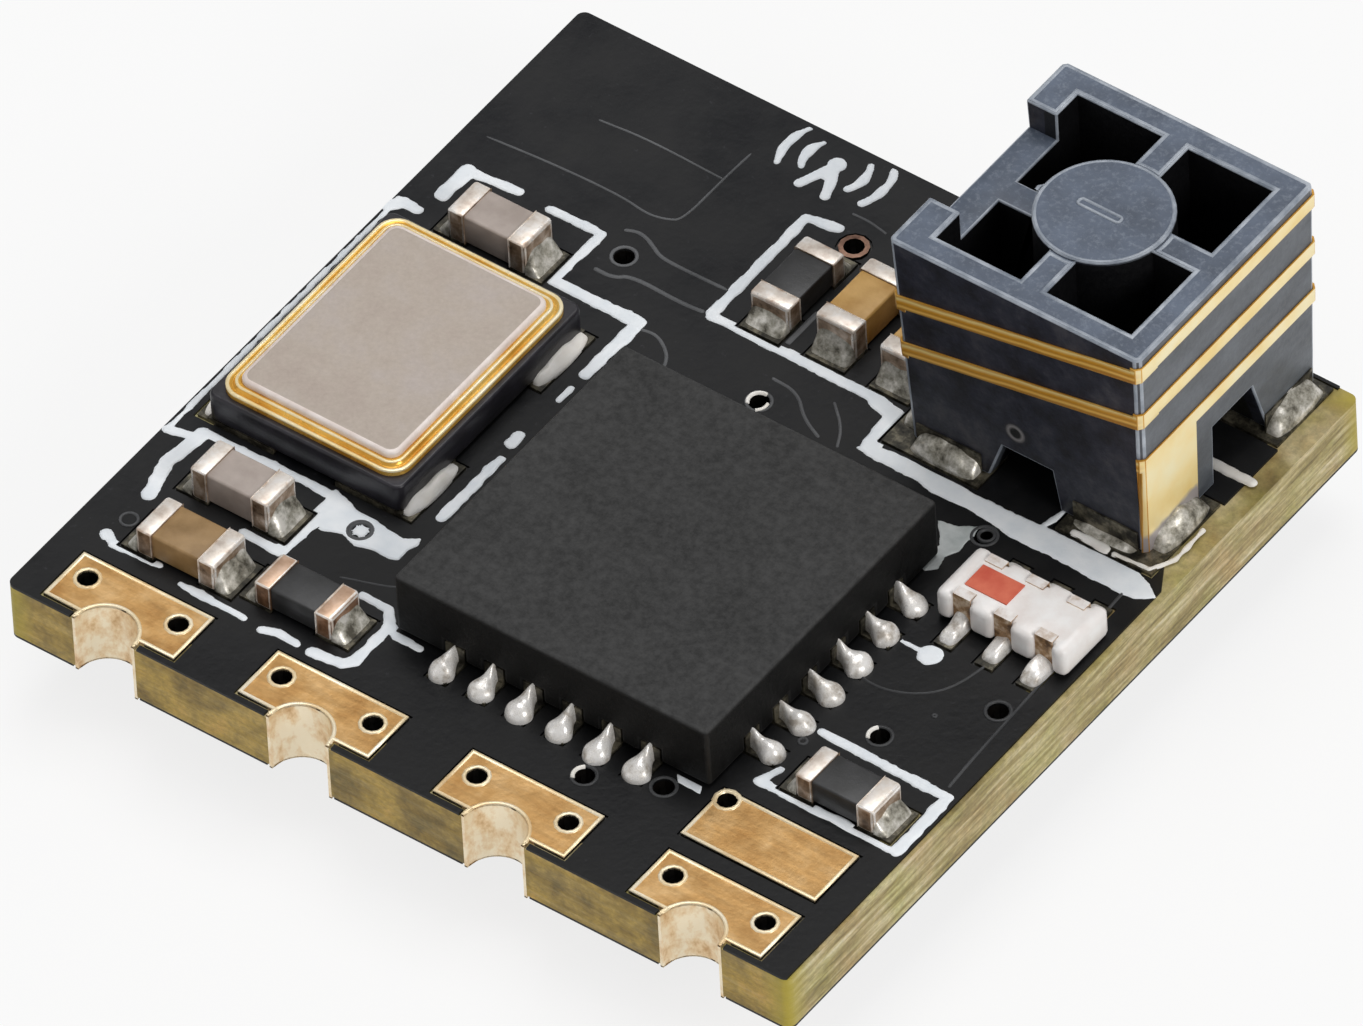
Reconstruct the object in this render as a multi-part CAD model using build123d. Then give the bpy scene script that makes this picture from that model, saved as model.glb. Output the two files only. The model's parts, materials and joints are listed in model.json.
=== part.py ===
from build123d import *
import math
import os

# A ten millimetre radio receiver module: a printed board with plated half holes
# along its front edge, a radio chip, an oscillator, a filter and a moulded antenna
# on top, and a controller chip with its helpers underneath.
# Millimetres, +Z up. X and Y are zero at the middle of the board, Z is zero on the
# flat face of the controller chip, which the module rests on.
# Places on the board are given as x, y from its middle.

# Board
board_side = 10.0
laminate_thickness = 0.70
board_corner_radius = 0.10
copper_thickness = 0.04
mask_thickness = 0.03
mask_gap = 0.03
mask_setback_front = 0.03
mask_setback_middle = 0.07
mask_setback_back = 0.25
mask_step_start = 1.60
mask_step_end = 1.90
ink_thickness = 0.015

# Plated half holes and their pads on the front edge
edge_pad_count = 4
edge_pad_pitch = 2.50
edge_pad_width = 1.68
edge_pad_depth = 0.70
edge_pad_inset = 0.10
half_hole_radius = 0.365
plating = 0.035
edge_via_offset_x = 0.585
edge_via_depth = 0.52
via_hole_radius = 0.115
via_sides = 12

# Bare test pad near the front right corner
test_pad_x0, test_pad_x1 = 2.87, 4.58
test_pad_y0, test_pad_y1 = -3.95, -3.19
test_pad_ear = 0.12

# Small plated vias of the board
vias = [
    (2.34, -3.52), (1.57, -3.85), (-2.50, 2.35), (-0.60, 3.80), (4.55, -0.73),
    (3.75, -1.70), (-0.10, 1.45), (-2.42, -2.35), (2.97, 1.20),
]
open_ring_via = (-0.60, 3.80)
open_ring_radius = 0.17

# Solder runs down in a hollow curve, drawn towards this share of its foot and climb,
# in this many flats
solder_hollow = 0.2
solder_step_count = 3

# Flat chips with a ring of leads: side, height, leads a side, pitch, thermal pad
lead_width = 0.24
lead_length = 0.40
lead_thickness = 0.20
chip_standoff = 0.02
pad_gap = 0.12
lead_pad_reach = 0.34
lead_solder_climb = 0.27
radio_side, radio_height, radio_leads, radio_pitch, radio_thermal = 4.0, 0.81, 6, 0.5, 2.6
radio_place = (0.75, -1.28)
controller_side, controller_height = 5.0, 0.85
controller_leads, controller_pitch, controller_thermal = 8, 0.5, 3.5
controller_place = (0.45, 0.55)
regulator_side, regulator_height = 1.8, 0.60
regulator_leads, regulator_pitch, regulator_thermal = 3, 0.65, 0.8

# Oscillator in a ceramic box with a metal lid, long side along Y
oscillator_length, oscillator_width = 3.20, 2.50
oscillator_base_height = 0.36
oscillator_ring_inset = 0.08
oscillator_ring_wall = 0.34
oscillator_ring_height = 0.07
oscillator_lid_inset = 0.14
oscillator_flange_height = 0.03
oscillator_lid_height = 0.09
oscillator_lid_step = 0.09
oscillator_corner = 0.22
oscillator_flange_corner = 0.18
oscillator_lid_corner = 0.13
oscillator_terminal_x, oscillator_terminal_y = 0.85, 0.95
oscillator_terminal_thickness = 0.03
oscillator_solder_reach = 0.13
oscillator_solder_climb = 0.16
oscillator_place = (-3.43, -0.36)

# Small crystal underneath
crystal_length, crystal_width = 2.00, 1.60
crystal_base_height = 0.26
crystal_lid_inset = 0.14
crystal_lid_height = 0.16
crystal_terminal = 0.60
crystal_place = (-3.75, 2.55)

# Filter block with wrap-round terminals, long side along X
filter_length, filter_width, filter_height = 1.65, 0.80, 0.41
filter_terminals_a_side = 3
filter_terminal_pitch = 0.52
filter_terminal_width = 0.22
filter_terminal_skin = 0.015
filter_terminal_wrap = 0.12
filter_groove = 0.06
filter_pad_reach = 0.30
filter_solder_climb = 0.20
filter_mark_length, filter_mark_width = 0.53, 0.33
filter_mark_x, filter_mark_y = -0.34, 0.0
filter_place = (4.05, 0.39)

# Chip resistors and capacitors: length, width, height, then place and turn
cap_length = 0.21
cap_skin = 0.015
cap_edge = 0.02
chip_pad_reach = 0.20
chip_solder_climb_share = 0.75
capacitor_size = (1.00, 0.50, 0.42)
large_capacitor_size = (1.02, 0.56, 0.35)
resistor_size = (1.00, 0.50, 0.32)
top_capacitors = {
    "capacitor_behind_oscillator": (capacitor_size, -3.68, 1.80, 0),
    "capacitor_front_of_oscillator": (capacitor_size, -3.66, -2.68, 0),
    "bulk_capacitor": (large_capacitor_size, -3.64, -3.61, 0),
    "matching_capacitor": (capacitor_size, 0.14, 2.97, 90),
    "antenna_capacitor": (capacitor_size, 0.96, 2.97, 90),
}
top_resistors = {
    "resistor_front_left": (resistor_size, -2.20, -3.54, 0),
    "resistor_by_antenna": (resistor_size, -0.67, 2.92, 90),
    "resistor_by_test_pad": (resistor_size, 4.03, -2.61, 0),
}
bottom_capacitors = {
    "controller_capacitor_left": (capacitor_size, -3.60, 0.60, 0),
    "controller_capacitor_right": (capacitor_size, 4.10, 1.60, 90),
    "regulator_capacitor_in": (capacitor_size, -1.35, -2.95, 0),
    "regulator_capacitor_out": (capacitor_size, 0.60, -2.95, 0),
}
bottom_resistors = {
    "pull_up_resistor": (resistor_size, 4.10, -0.60, 90),
    "lamp_resistor": (resistor_size, 2.60, -2.80, 0),
}

# Status lamp underneath
lamp_size = (1.00, 0.50, 0.40)
lamp_base_height = 0.14
lamp_end = 0.22
lamp_lens_edge = 0.06
lamp_place = (4.25, -2.45)

# Moulded antenna: a square tower that flares slightly upwards, a little more on its -X side
antenna_place = (3.00, 3.43)
antenna_foot_side = 3.00
antenna_top_side = 3.10
antenna_left_flare = 0.08
antenna_height = 2.88
antenna_corner = 0.05
antenna_wall = 0.26
antenna_rib = 0.33
antenna_boss_radius = 0.75
antenna_boss_rise = 0.05
antenna_floor = 0.90
antenna_gate_depth = 0.38
antenna_gate_half_width = 0.84
antenna_gate_y = 0.03
front_arch = [(-0.50, 0.0), (-0.30, 0.55), (0.33, 0.55), (0.41, 0.0)]
side_arch = [(-0.30, 0.0), (-0.30, 0.85), (0.39, 0.85), (0.65, 0.0)]
arch_depth = 0.60
antenna_pad_side = 1.00
antenna_pad_reach = 0.22
antenna_solder_climb = 0.24
antenna_solder_length = 0.82
antenna_soldered_sides = (0, 2, 3)
track_width = 0.19
track_skin = 0.02
track_low = 1.30
track_pitch = 0.69
track_end_share = -0.2
feed_plate_width = 0.92
foot_plate_height = 0.26

# Printed ink lines: width, then the points that the pen goes through
ink_hair, ink_fine, ink_line, ink_bold, ink_block = 0.06, 0.09, 0.11, 0.16, 0.27
ink_strokes = [
    (ink_hair, [(-4.95, 1.72), (-4.95, -2.26)]),
    (ink_line, [(-4.93, 1.70), (-4.72, 1.70)]),
    (ink_bold, [(-4.60, 2.02), (-4.60, 2.43)]),
    (ink_fine, [(-4.62, 2.47), (-3.93, 2.47)]),
    (ink_fine, [(-3.53, 2.47), (-2.89, 2.47), (-2.89, 1.70)]),
    (ink_bold, [(-3.80, 1.66), (-1.82, 1.66), (-1.82, 0.78)]),
    (ink_hair, [(-1.82, 0.51), (-1.82, 0.30)]),
    (ink_line, [(-1.87, -0.34), (-1.87, -0.48)]),
    (ink_line, [(-1.83, -0.72), (-1.83, -1.72)]),
    (ink_line, [(-4.92, -2.27), (-4.70, -2.24)]),
    (ink_line, [(-4.62, -2.13), (-3.00, -2.12)]),
    (ink_bold, [(-4.63, -2.24), (-4.56, -3.14)]),
    (ink_bold, [(-2.90, -2.19), (-2.93, -3.00)]),
    (ink_fine, [(-3.42, -3.07), (-2.93, -3.07)]),
    (ink_block, [(-2.80, -2.34), (-2.02, -2.34)]),
    (ink_fine, [(-4.53, -3.99), (-3.85, -3.99)]),
    (ink_fine, [(-3.47, -4.03), (-2.68, -4.04)]),
    (ink_fine, [(-2.41, -4.06), (-2.24, -4.02), (-2.00, -4.04)]),
    (ink_line, [(-1.78, -4.03), (-1.37, -4.01), (-1.35, -3.26)]),
    (ink_fine, [(-1.44, -3.14), (-1.35, -3.26), (-1.20, -3.30), (-0.92, -3.27)]),
    (ink_line, [(2.62, -3.30), (2.66, -3.33)]),
    (ink_line, [(3.22, -1.99), (4.85, -2.00), (4.85, -2.91), (3.14, -2.90)]),
    (ink_line, [(-0.90, 3.91), (-1.25, 3.86), (-1.25, 2.20)]),
    (ink_line, [(-1.25, 2.17), (1.06, 2.16)]),
    (ink_bold, [(1.13, 2.08), (1.22, 1.62)]),
    (ink_bold, [(1.20, 1.54), (2.30, 1.52)]),
    (ink_block, [(2.30, 1.51), (4.72, 1.50)]),
    (ink_line, [(4.24, 3.36), (4.66, 3.36)]),
]
ink_dot = (3.48, -0.50)
ink_dot_radius = 0.13

# Heights that follow from the sizes above
regulator_row = (controller_leads - 1) / 2 * controller_pitch + (regulator_leads - 1) / 2 * regulator_pitch
regulator_place = (
    controller_place[0] - (controller_side + regulator_side) / 2 - lead_pad_reach - pad_gap,
    controller_place[1] - regulator_row - lead_width - pad_gap,
)
pad_bottom = controller_height
laminate_bottom = pad_bottom + copper_thickness
laminate_top = laminate_bottom + laminate_thickness
pad_top = laminate_top + copper_thickness
mask_top = laminate_top + mask_thickness
mask_bottom = laminate_bottom - mask_thickness
half_board = board_side / 2


def block(size_x, size_y, low, high, x=0.0, y=0.0):
    """A plain block centred on x, y, from low to high."""
    return Pos(x, y, (low + high) / 2) * Box(size_x, size_y, high - low)


def rounded_block(size_x, size_y, radius, low, high, x=0.0, y=0.0):
    """A block with rounded upright corners."""
    return Pos(x, y, low) * extrude(RectangleRounded(size_x, size_y, radius), high - low)


def rod(radius, low, high, x=0.0, y=0.0):
    """An upright round rod."""
    return Pos(x, y, (low + high) / 2) * Cylinder(radius, high - low)


def solder_wedge(foot, climb, width):
    """Solder that runs from a wall at x = 0 down to its pad, with a hollow face."""
    outline = [(0, 0)]
    for step in range(solder_step_count + 1):
        t = step / solder_step_count
        share = 2 * t * (1 - t) * solder_hollow
        outline.append((foot * ((1 - t) ** 2 + share), climb * (t ** 2 + share)))
    return extrude(Plane.XZ * make_face(Polyline(*outline, close=True)), width / 2, both=True)


def small_rod(radius, low, high, x=0.0, y=0.0):
    """An upright rod with flat sides, for holes too small to show them."""
    return Pos(x, y, low) * extrude(RegularPolygon(radius, via_sides), high - low)


def joined(shapes):
    """All the shapes as one."""
    whole = shapes[0]
    for shape in shapes[1:]:
        whole += shape
    return whole


def round_the_sides(count_a_side, pitch, make):
    """Copies of make(offset) along each of the four sides of a square chip."""
    offsets = [(i - (count_a_side - 1) / 2) * pitch for i in range(count_a_side)]
    return [Rot(0, 0, 90 * side) * make(offset) for side in range(4) for offset in offsets]


def on_top(x, y, turn=0):
    """Place of a part that stands on the upper pads."""
    return Pos(x, y, pad_top) * Rot(0, 0, turn)


def underneath(x, y, turn=0):
    """Place of a part that hangs from the lower pads, upside down."""
    return Pos(x, y, pad_bottom) * Rot(180, 0, 0) * Rot(0, 0, turn)


def turned(pads, x, y, turn=0):
    """Pad rectangles (x, y, size_x, size_y) moved to their place on the board."""
    moved = []
    for px, py, sx, sy in pads:
        if turn == 90:
            px, py, sx, sy = -py, px, sy, sx
        moved.append((x + px, y + py, sx, sy))
    return moved


# Flat leaded chips

def chip_lead_solids(side, leads, pitch, both_ways=True):
    """Leads along the rim, flush with the sides."""
    def lead(offset):
        return block(lead_length, lead_width, 0, lead_thickness, side / 2 - lead_length / 2, offset)
    solids = round_the_sides(leads, pitch, lead)
    return solids if both_ways else solids[:leads] + solids[2 * leads:3 * leads]


def chip_body_solid(side, height, leads, thermal):
    """Moulded body with the leads and the thermal pad let into its base."""
    body = block(side, side, chip_standoff, height)
    return body - leads - thermal


def chip_pads(side, leads, pitch, thermal, both_ways=True):
    """Pads under the leads, reaching past the sides, and one under the middle."""
    reach = lead_length + lead_pad_reach
    middle = side / 2 - lead_length + reach / 2
    pads = [(0, 0, thermal, thermal)]
    for i in range(leads):
        offset = (i - (leads - 1) / 2) * pitch
        pads += [(middle, offset, reach, lead_width), (-middle, offset, reach, lead_width)]
        if both_ways:
            pads += [(offset, middle, lead_width, reach), (offset, -middle, lead_width, reach)]
    return pads


def chip_solder(side, leads, pitch, both_ways=True):
    """Solder fillets outside the leads."""
    def fillet_at(offset):
        return Pos(side / 2, offset, 0) * solder_wedge(lead_pad_reach, lead_solder_climb, lead_width)
    solids = round_the_sides(leads, pitch, fillet_at)
    return solids if both_ways else solids[:leads] + solids[2 * leads:3 * leads]


def leaded_chip(side, height, leads, pitch, thermal, both_ways=True):
    """Body, leads and thermal pad of one flat chip, standing on z = 0."""
    pins = chip_lead_solids(side, leads, pitch, both_ways)
    slug = block(thermal, thermal, 0, lead_thickness)
    return chip_body_solid(side, height, pins, slug), pins, slug


# Two-ended chip parts

def cap_solids(size):
    """Two metal cups over the ends, open towards the middle."""
    length, width, height = size
    cup = block(cap_length, width, 0, height, length / 2 - cap_length / 2)
    cup = chamfer(cup.faces().sort_by(Axis.X)[-1].edges(), cap_edge)
    cup -= chip_core(size)
    return [cup, Rot(0, 0, 180) * cup]


def chip_core(size):
    """The ceramic core, which runs inside the cups."""
    length, width, height = size
    return block(length - 2 * cap_skin, width - 2 * cap_skin, cap_skin, height - cap_skin)


def two_pads(size):
    """Pads under both ends, reaching past them."""
    length, width, height = size
    reach = cap_length + chip_pad_reach
    middle = length / 2 - cap_length + reach / 2
    return [(middle, 0, reach, width), (-middle, 0, reach, width)]


def two_fillets(size):
    """Solder fillets at both ends."""
    length, width, height = size
    wedge = Pos(length / 2, 0, 0) * solder_wedge(chip_pad_reach, height * chip_solder_climb_share, width)
    return [wedge, Rot(0, 0, 180) * wedge]


# Oscillator

def oscillator_base():
    """Ceramic box on its terminals."""
    low = oscillator_terminal_thickness
    return rounded_block(oscillator_width, oscillator_length, oscillator_corner / 2, low,
                         low + oscillator_base_height)


def oscillator_ring():
    """Gold ring brazed to the top of the box."""
    low = oscillator_terminal_thickness + oscillator_base_height
    high = low + oscillator_ring_height
    size_x = oscillator_width - 2 * oscillator_ring_inset
    size_y = oscillator_length - 2 * oscillator_ring_inset
    opening = oscillator_ring_wall * 2
    ring = rounded_block(size_x, size_y, oscillator_corner, low, high)
    return ring - rounded_block(size_x - opening, size_y - opening, oscillator_corner / 2, low, high)


def oscillator_lid():
    """Thin flange on the ring with the raised lid inside it."""
    low = oscillator_terminal_thickness + oscillator_base_height + oscillator_ring_height
    inset = 2 * (oscillator_ring_inset + oscillator_lid_inset)
    size_x, size_y = oscillator_width - inset, oscillator_length - inset
    step = 2 * oscillator_lid_step
    flange_top = low + oscillator_flange_height
    flange = rounded_block(size_x, size_y, oscillator_flange_corner, low, flange_top)
    high = low + oscillator_lid_height
    plate = rounded_block(size_x - step, size_y - step, oscillator_lid_corner, low, high)
    return flange + plate


def oscillator_terminal_places():
    """Middle of each corner terminal."""
    dx = (oscillator_width - oscillator_terminal_x) / 2
    dy = (oscillator_length - oscillator_terminal_y) / 2
    return [(sx * dx, sy * dy) for sx in (-1, 1) for sy in (-1, 1)]


def oscillator_terminals():
    """Gold terminals under the four corners."""
    return [block(oscillator_terminal_x, oscillator_terminal_y, 0, oscillator_terminal_thickness, x, y)
            for x, y in oscillator_terminal_places()]


def oscillator_pads():
    """Pads under the terminals, reaching past both long sides."""
    reach = oscillator_terminal_x + oscillator_solder_reach
    return [(x + math.copysign(oscillator_solder_reach / 2, x), y, reach, oscillator_terminal_y)
            for x, y in oscillator_terminal_places()]


def oscillator_solder():
    """Low fillets along both long sides at the terminals."""
    wedge = solder_wedge(oscillator_solder_reach, oscillator_solder_climb, oscillator_terminal_y * 0.8)
    solids = []
    for x, y in oscillator_terminal_places():
        turn = 0 if x > 0 else 180
        solids.append(Pos(math.copysign(oscillator_width / 2, x), y, 0) * Rot(0, 0, turn) * wedge)
    return solids


# Crystal

def crystal_corners():
    """Middle of each corner terminal of the crystal."""
    dx = (crystal_length - crystal_terminal) / 2
    dy = (crystal_width - crystal_terminal) / 2
    return [(sx * dx, sy * dy) for sx in (-1, 1) for sy in (-1, 1)]


def crystal_base():
    """Ceramic box of the crystal."""
    low = oscillator_terminal_thickness
    high = low + crystal_base_height
    return rounded_block(crystal_length, crystal_width, oscillator_corner / 2, low, high)


def crystal_lid():
    """Metal lid seamed to the crystal's box."""
    low = oscillator_terminal_thickness + crystal_base_height
    high = low + crystal_lid_height
    inset = 2 * crystal_lid_inset
    lid = rounded_block(crystal_length - inset, crystal_width - inset, oscillator_corner, low, high)
    return chamfer(lid.faces().sort_by(Axis.Z)[-1].edges(), crystal_lid_height / 4)


def crystal_terminals():
    """Terminals under the crystal's corners."""
    return [block(crystal_terminal, crystal_terminal, 0, oscillator_terminal_thickness, x, y)
            for x, y in crystal_corners()]


# Filter

def filter_offsets():
    """Places of the terminals along one side."""
    middle = (filter_terminals_a_side - 1) / 2
    return [(i - middle) * filter_terminal_pitch for i in range(filter_terminals_a_side)]


def filter_body():
    """Fired ceramic block with an upright groove for each terminal."""
    skin = filter_terminal_skin
    body = block(filter_length, filter_width, skin, filter_height - skin)
    depth = 2 * (filter_groove + skin)
    for side in (-1, 1):
        for offset in filter_offsets():
            body -= block(filter_terminal_width, depth, 0, filter_height, offset, side * filter_width / 2)
    return body


def filter_terminals():
    """Metal strips in the grooves, wrapped over the top and under the base."""
    body = filter_body()
    middle = filter_groove + filter_terminal_wrap / 2 - filter_width / 2
    solids = []
    for side in (0, 180):
        for offset in filter_offsets():
            strip = block(filter_terminal_width, filter_terminal_wrap, 0, filter_height, offset, middle)
            solids.append(Rot(0, 0, side) * (strip - body))
    return solids


def filter_mark():
    """Printed rectangle that shows which end is the first."""
    low = filter_height - filter_terminal_skin
    high = low + ink_thickness
    return block(filter_mark_length, filter_mark_width, low, high, filter_mark_x, filter_mark_y)


def filter_pads():
    """Pads in front of and behind the block."""
    reach = filter_groove + filter_terminal_wrap + filter_pad_reach
    middle = filter_width / 2 + filter_pad_reach - reach / 2
    return [(offset, side * middle, filter_terminal_width, reach)
            for side in (-1, 1) for offset in filter_offsets()]


def filter_solder():
    """Fillets from the strips down to their pads."""
    foot = filter_groove + filter_pad_reach
    outward = filter_width / 2 - filter_groove
    wedge = Pos(outward, 0, 0) * solder_wedge(foot, filter_solder_climb, filter_terminal_width)
    return [Pos(offset, 0, 0) * Rot(0, 0, turn) * wedge
            for turn in (-90, 90) for offset in filter_offsets()]


# Antenna

def antenna_reach(side, height):
    """Distance from the tower's axis to one side at a height; side 0 faces +X, 2 faces -X."""
    flare = (antenna_top_side - antenna_foot_side) / 2
    if side == 2:
        flare += antenna_left_flare
    return antenna_foot_side / 2 + flare * height / antenna_height


def tower_section(grow, height):
    """Outline of the tower at a height, with its corners taken off."""
    right, back, left, front = (antenna_reach(side, height) + grow for side in range(4))
    outline = Rectangle(left + right, back + front)
    cut = chamfer(outline.vertices(), antenna_corner)
    return Pos((right - left) / 2, (back - front) / 2, height) * cut


def tower(grow, low, high):
    """The flared outer form, grown sideways, between two heights."""
    return loft([tower_section(grow, low), tower_section(grow, high)])


def antenna_pockets():
    """Four deep pockets left between the walls, the ribs and the round boss."""
    inner = antenna_foot_side - 2 * antenna_wall
    hollow = block(inner, inner, antenna_floor, antenna_height)
    cross = block(inner, antenna_rib, antenna_floor, antenna_height)
    cross += block(antenna_rib, inner, antenna_floor, antenna_height)
    return hollow - cross - rod(antenna_boss_radius, antenna_floor, antenna_height)


def arch_cut(outline):
    """A cut from outside into the foot of the wall that faces -Y."""
    face = make_face(Polyline(*outline, close=True))
    outside = antenna_top_side / 2
    cut = extrude(Plane.XZ * face, outside - (antenna_foot_side / 2 - arch_depth))
    return Pos(0, -(antenna_foot_side / 2 - arch_depth), 0) * cut


def antenna_gate_notch():
    """Step in the top of the wall and rib on the -X side."""
    wall = antenna_reach(2, antenna_height)
    low = antenna_height - antenna_gate_depth
    width = 2 * antenna_gate_half_width
    x = -(wall + antenna_boss_radius) / 2
    return block(wall - antenna_boss_radius, width, low, antenna_height, x, antenna_gate_y)


def antenna_body():
    """Moulded tower: pockets, boss, step and the arches between its feet."""
    body = tower(0, 0, antenna_height) - antenna_pockets() - antenna_gate_notch()
    for turn, outline in ((0, front_arch), (90, side_arch), (180, front_arch), (270, side_arch)):
        body -= Rot(0, 0, turn) * arch_cut(outline)
    boss_top = antenna_height + antenna_boss_rise
    return body + rod(antenna_boss_radius, antenna_floor, boss_top)


def skin_slab(length, low, high, along):
    """Slab that plating on the +X side is cut from, with the chamfers at its ends."""
    inner = antenna_foot_side / 2 - antenna_corner
    outer = antenna_reach(2, antenna_height) + 2 * track_skin
    return block(outer - inner, length, low, high, (inner + outer) / 2, along)


def level_band(side, height, start=-1.0, end=1.0):
    """Slab that a level stretch of track is cut from; side 0 faces +X."""
    half = antenna_reach(2, antenna_height) + track_skin
    low, high = height - track_width / 2, height + track_width / 2
    return Rot(0, 0, 90 * side) * skin_slab((end - start) * half, low, high, (end + start) / 2 * half)


def rising_band(height):
    """Slab for the stretch on the -Y face, one pitch higher at its +X end."""
    half = antenna_reach(2, antenna_height) + track_skin
    drop = track_width / 2
    face = make_face(Polyline((-half, height - drop), (half, height + track_pitch - drop),
                              (half, height + track_pitch + drop), (-half, height + drop), close=True))
    return Pos(0, -half * 0.75, 0) * extrude(Plane.XZ * face, half * 0.5)


def antenna_track():
    """Plated track: feed plate, two full turns and a last run along +X and the back."""
    turns = [track_low + i * track_pitch for i in range(3)]
    bands = [level_band(side, height) for height in turns[:2] for side in (0, 1, 2)]
    bands += [level_band(0, turns[2]), level_band(1, turns[2], -1.0, track_end_share)]
    bands += [rising_band(height) for height in turns[:2]]
    plate_middle = feed_plate_width / 2 - antenna_reach(3, track_low)
    bands.append(skin_slab(feed_plate_width, 0, track_low + track_width / 2, plate_middle))
    return antenna_skin() & joined(bands)


def antenna_skin():
    """The layer that all plating on the tower is cut from."""
    return tower(track_skin, 0, antenna_height) - tower(0, 0, antenna_height)


def antenna_foot_places():
    """Side, turned from +X, and place along it of each soldered foot edge."""
    along = (antenna_foot_side - antenna_pad_side) / 2
    return [(side, end * along) for side in antenna_soldered_sides for end in (-1, 1)]


def antenna_foot_plates():
    """Plated feet, one patch at each end of a soldered side, apart from the feed plate's."""
    half = antenna_foot_side / 2
    patches = []
    for side, along in antenna_foot_places():
        if side == 0 and along < 0:
            continue
        patch = block(half / 2, antenna_solder_length, 0, foot_plate_height, half, along)
        patches.append(antenna_skin() & (Rot(0, 0, 90 * side) * patch))
    return patches


def antenna_pads():
    """Corner pads under the feet. They reach past the soldered sides, not past the back."""
    side = antenna_pad_side + antenna_pad_reach
    along = (antenna_foot_side - antenna_pad_side) / 2
    out = along + antenna_pad_reach / 2
    front = [(sx * out, -out, side, side) for sx in (-1, 1)]
    back = [(sx * out, along, side, antenna_pad_side) for sx in (-1, 1)]
    return front + back


def antenna_solder():
    """Fillets at the foot of the tower, at both ends of each soldered side."""
    wedge = solder_wedge(antenna_pad_reach - track_skin, antenna_solder_climb, antenna_solder_length)
    solids = []
    for side, along in antenna_foot_places():
        outward = antenna_reach(side, antenna_solder_climb) + track_skin
        solids.append(Rot(0, 0, 90 * side) * Pos(outward, along, 0) * wedge)
    return solids


# Status lamp

def lamp_base():
    """White base of the lamp."""
    length, width, height = lamp_size
    return block(length - 2 * lamp_end, width, 0, lamp_base_height)


def lamp_ends():
    """Metal ends of the lamp's base."""
    length, width, height = lamp_size
    middle = (length - lamp_end) / 2
    return [block(lamp_end, width, 0, lamp_base_height, side * middle) for side in (-1, 1)]


def lamp_solder():
    """Low fillets at the lamp's ends."""
    length, width, height = lamp_size
    return two_fillets((length, width, lamp_base_height))


def lamp_lens():
    """Clear block cast over the base, narrower at its top."""
    length, width, height = lamp_size
    lens = block(length - lamp_end, width, lamp_base_height, height)
    return chamfer(lens.faces().sort_by(Axis.Z)[-1].edges(), lamp_lens_edge)


# Board

def board_outline(low, high):
    """The board's outer form between two heights."""
    return rounded_block(board_side, board_side, board_corner_radius, low, high)


def edge_pad_x():
    """Middle of each plated half hole along the front edge."""
    middle = (edge_pad_count - 1) / 2
    return [(i - middle) * edge_pad_pitch for i in range(edge_pad_count)]


def edge_via_places(x):
    """The two small vias of the pad at x."""
    y = -half_board + edge_via_depth
    return [(x - edge_via_offset_x, y), (x + edge_via_offset_x, y)]


def drilled(shape, places, radius, tool=rod):
    """The shape with upright holes at the places."""
    low, high = shape.bounding_box().min.Z, shape.bounding_box().max.Z
    return shape - [tool(radius, low, high, x, y) for x, y in places]


def laminate():
    """Glass laminate with all its holes."""
    board = board_outline(laminate_bottom, laminate_top)
    board = drilled(board, [(x, -half_board) for x in edge_pad_x()], half_hole_radius + plating)
    small = [place for x in edge_pad_x() for place in edge_via_places(x)]
    return drilled(board, small + vias + [test_via_place()], via_hole_radius + plating, small_rod)


def edge_pad(x):
    """Upper and lower pad joined by the plated half hole and two small vias."""
    y = -half_board + edge_pad_inset + edge_pad_depth / 2
    plates = block(edge_pad_width, edge_pad_depth, laminate_top, pad_top, x, y)
    plates += block(edge_pad_width, edge_pad_depth, pad_bottom, laminate_bottom, x, y)
    barrel = rod(half_hole_radius + plating, pad_bottom, pad_top, x, -half_board)
    front = block(board_side, board_side, pad_bottom, pad_top, 0, -board_side)
    pad = plates + (barrel - front)
    for via_x, via_y in edge_via_places(x):
        pad += small_rod(via_hole_radius + plating, pad_bottom, pad_top, via_x, via_y)
    pad = drilled(pad, [(x, -half_board)], half_hole_radius)
    return drilled(pad, edge_via_places(x), via_hole_radius, small_rod)


def test_via_place():
    """Via in the rear left corner of the test pad."""
    return (test_pad_x0 + test_pad_ear, test_pad_y1 - test_pad_ear)


def test_pad():
    """Bare gold test pad with its via."""
    x, y = (test_pad_x0 + test_pad_x1) / 2, (test_pad_y0 + test_pad_y1) / 2
    size_x, size_y = test_pad_x1 - test_pad_x0, test_pad_y1 - test_pad_y0
    pad = block(size_x, size_y, laminate_top, pad_top, x, y)
    pad += small_rod(via_hole_radius + plating, laminate_bottom, pad_top, *test_via_place())
    return drilled(pad, [test_via_place()], via_hole_radius, small_rod)


def via_barrels():
    """Plated walls of the small vias, with one bare ring on top."""
    tubes = [small_rod(via_hole_radius + plating, laminate_bottom, laminate_top, x, y) for x, y in vias]
    ring = small_rod(open_ring_radius, laminate_top, pad_top, *open_ring_via)
    tubes = [tube + ring if place == open_ring_via else tube for tube, place in zip(tubes, vias)]
    return [drilled(tube, [place], via_hole_radius, small_rod) for tube, place in zip(tubes, vias)]


def pad_solids(pads, low, high):
    """Copper pads as thin blocks."""
    return [block(size_x, size_y, low, high, x, y) for x, y, size_x, size_y in pads]


def mask_cut(pads, low, high):
    """Openings that the mask leaves round pads."""
    grow = 2 * mask_gap
    return [block(sx + grow, sy + grow, low, high, x, y) for x, y, sx, sy in pads]


def edge_pad_rectangles():
    """Edge pads as rectangles, for the mask."""
    y = -half_board + edge_pad_inset + edge_pad_depth / 2
    return [(x, y, edge_pad_width, edge_pad_depth) for x in edge_pad_x()]


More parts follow.
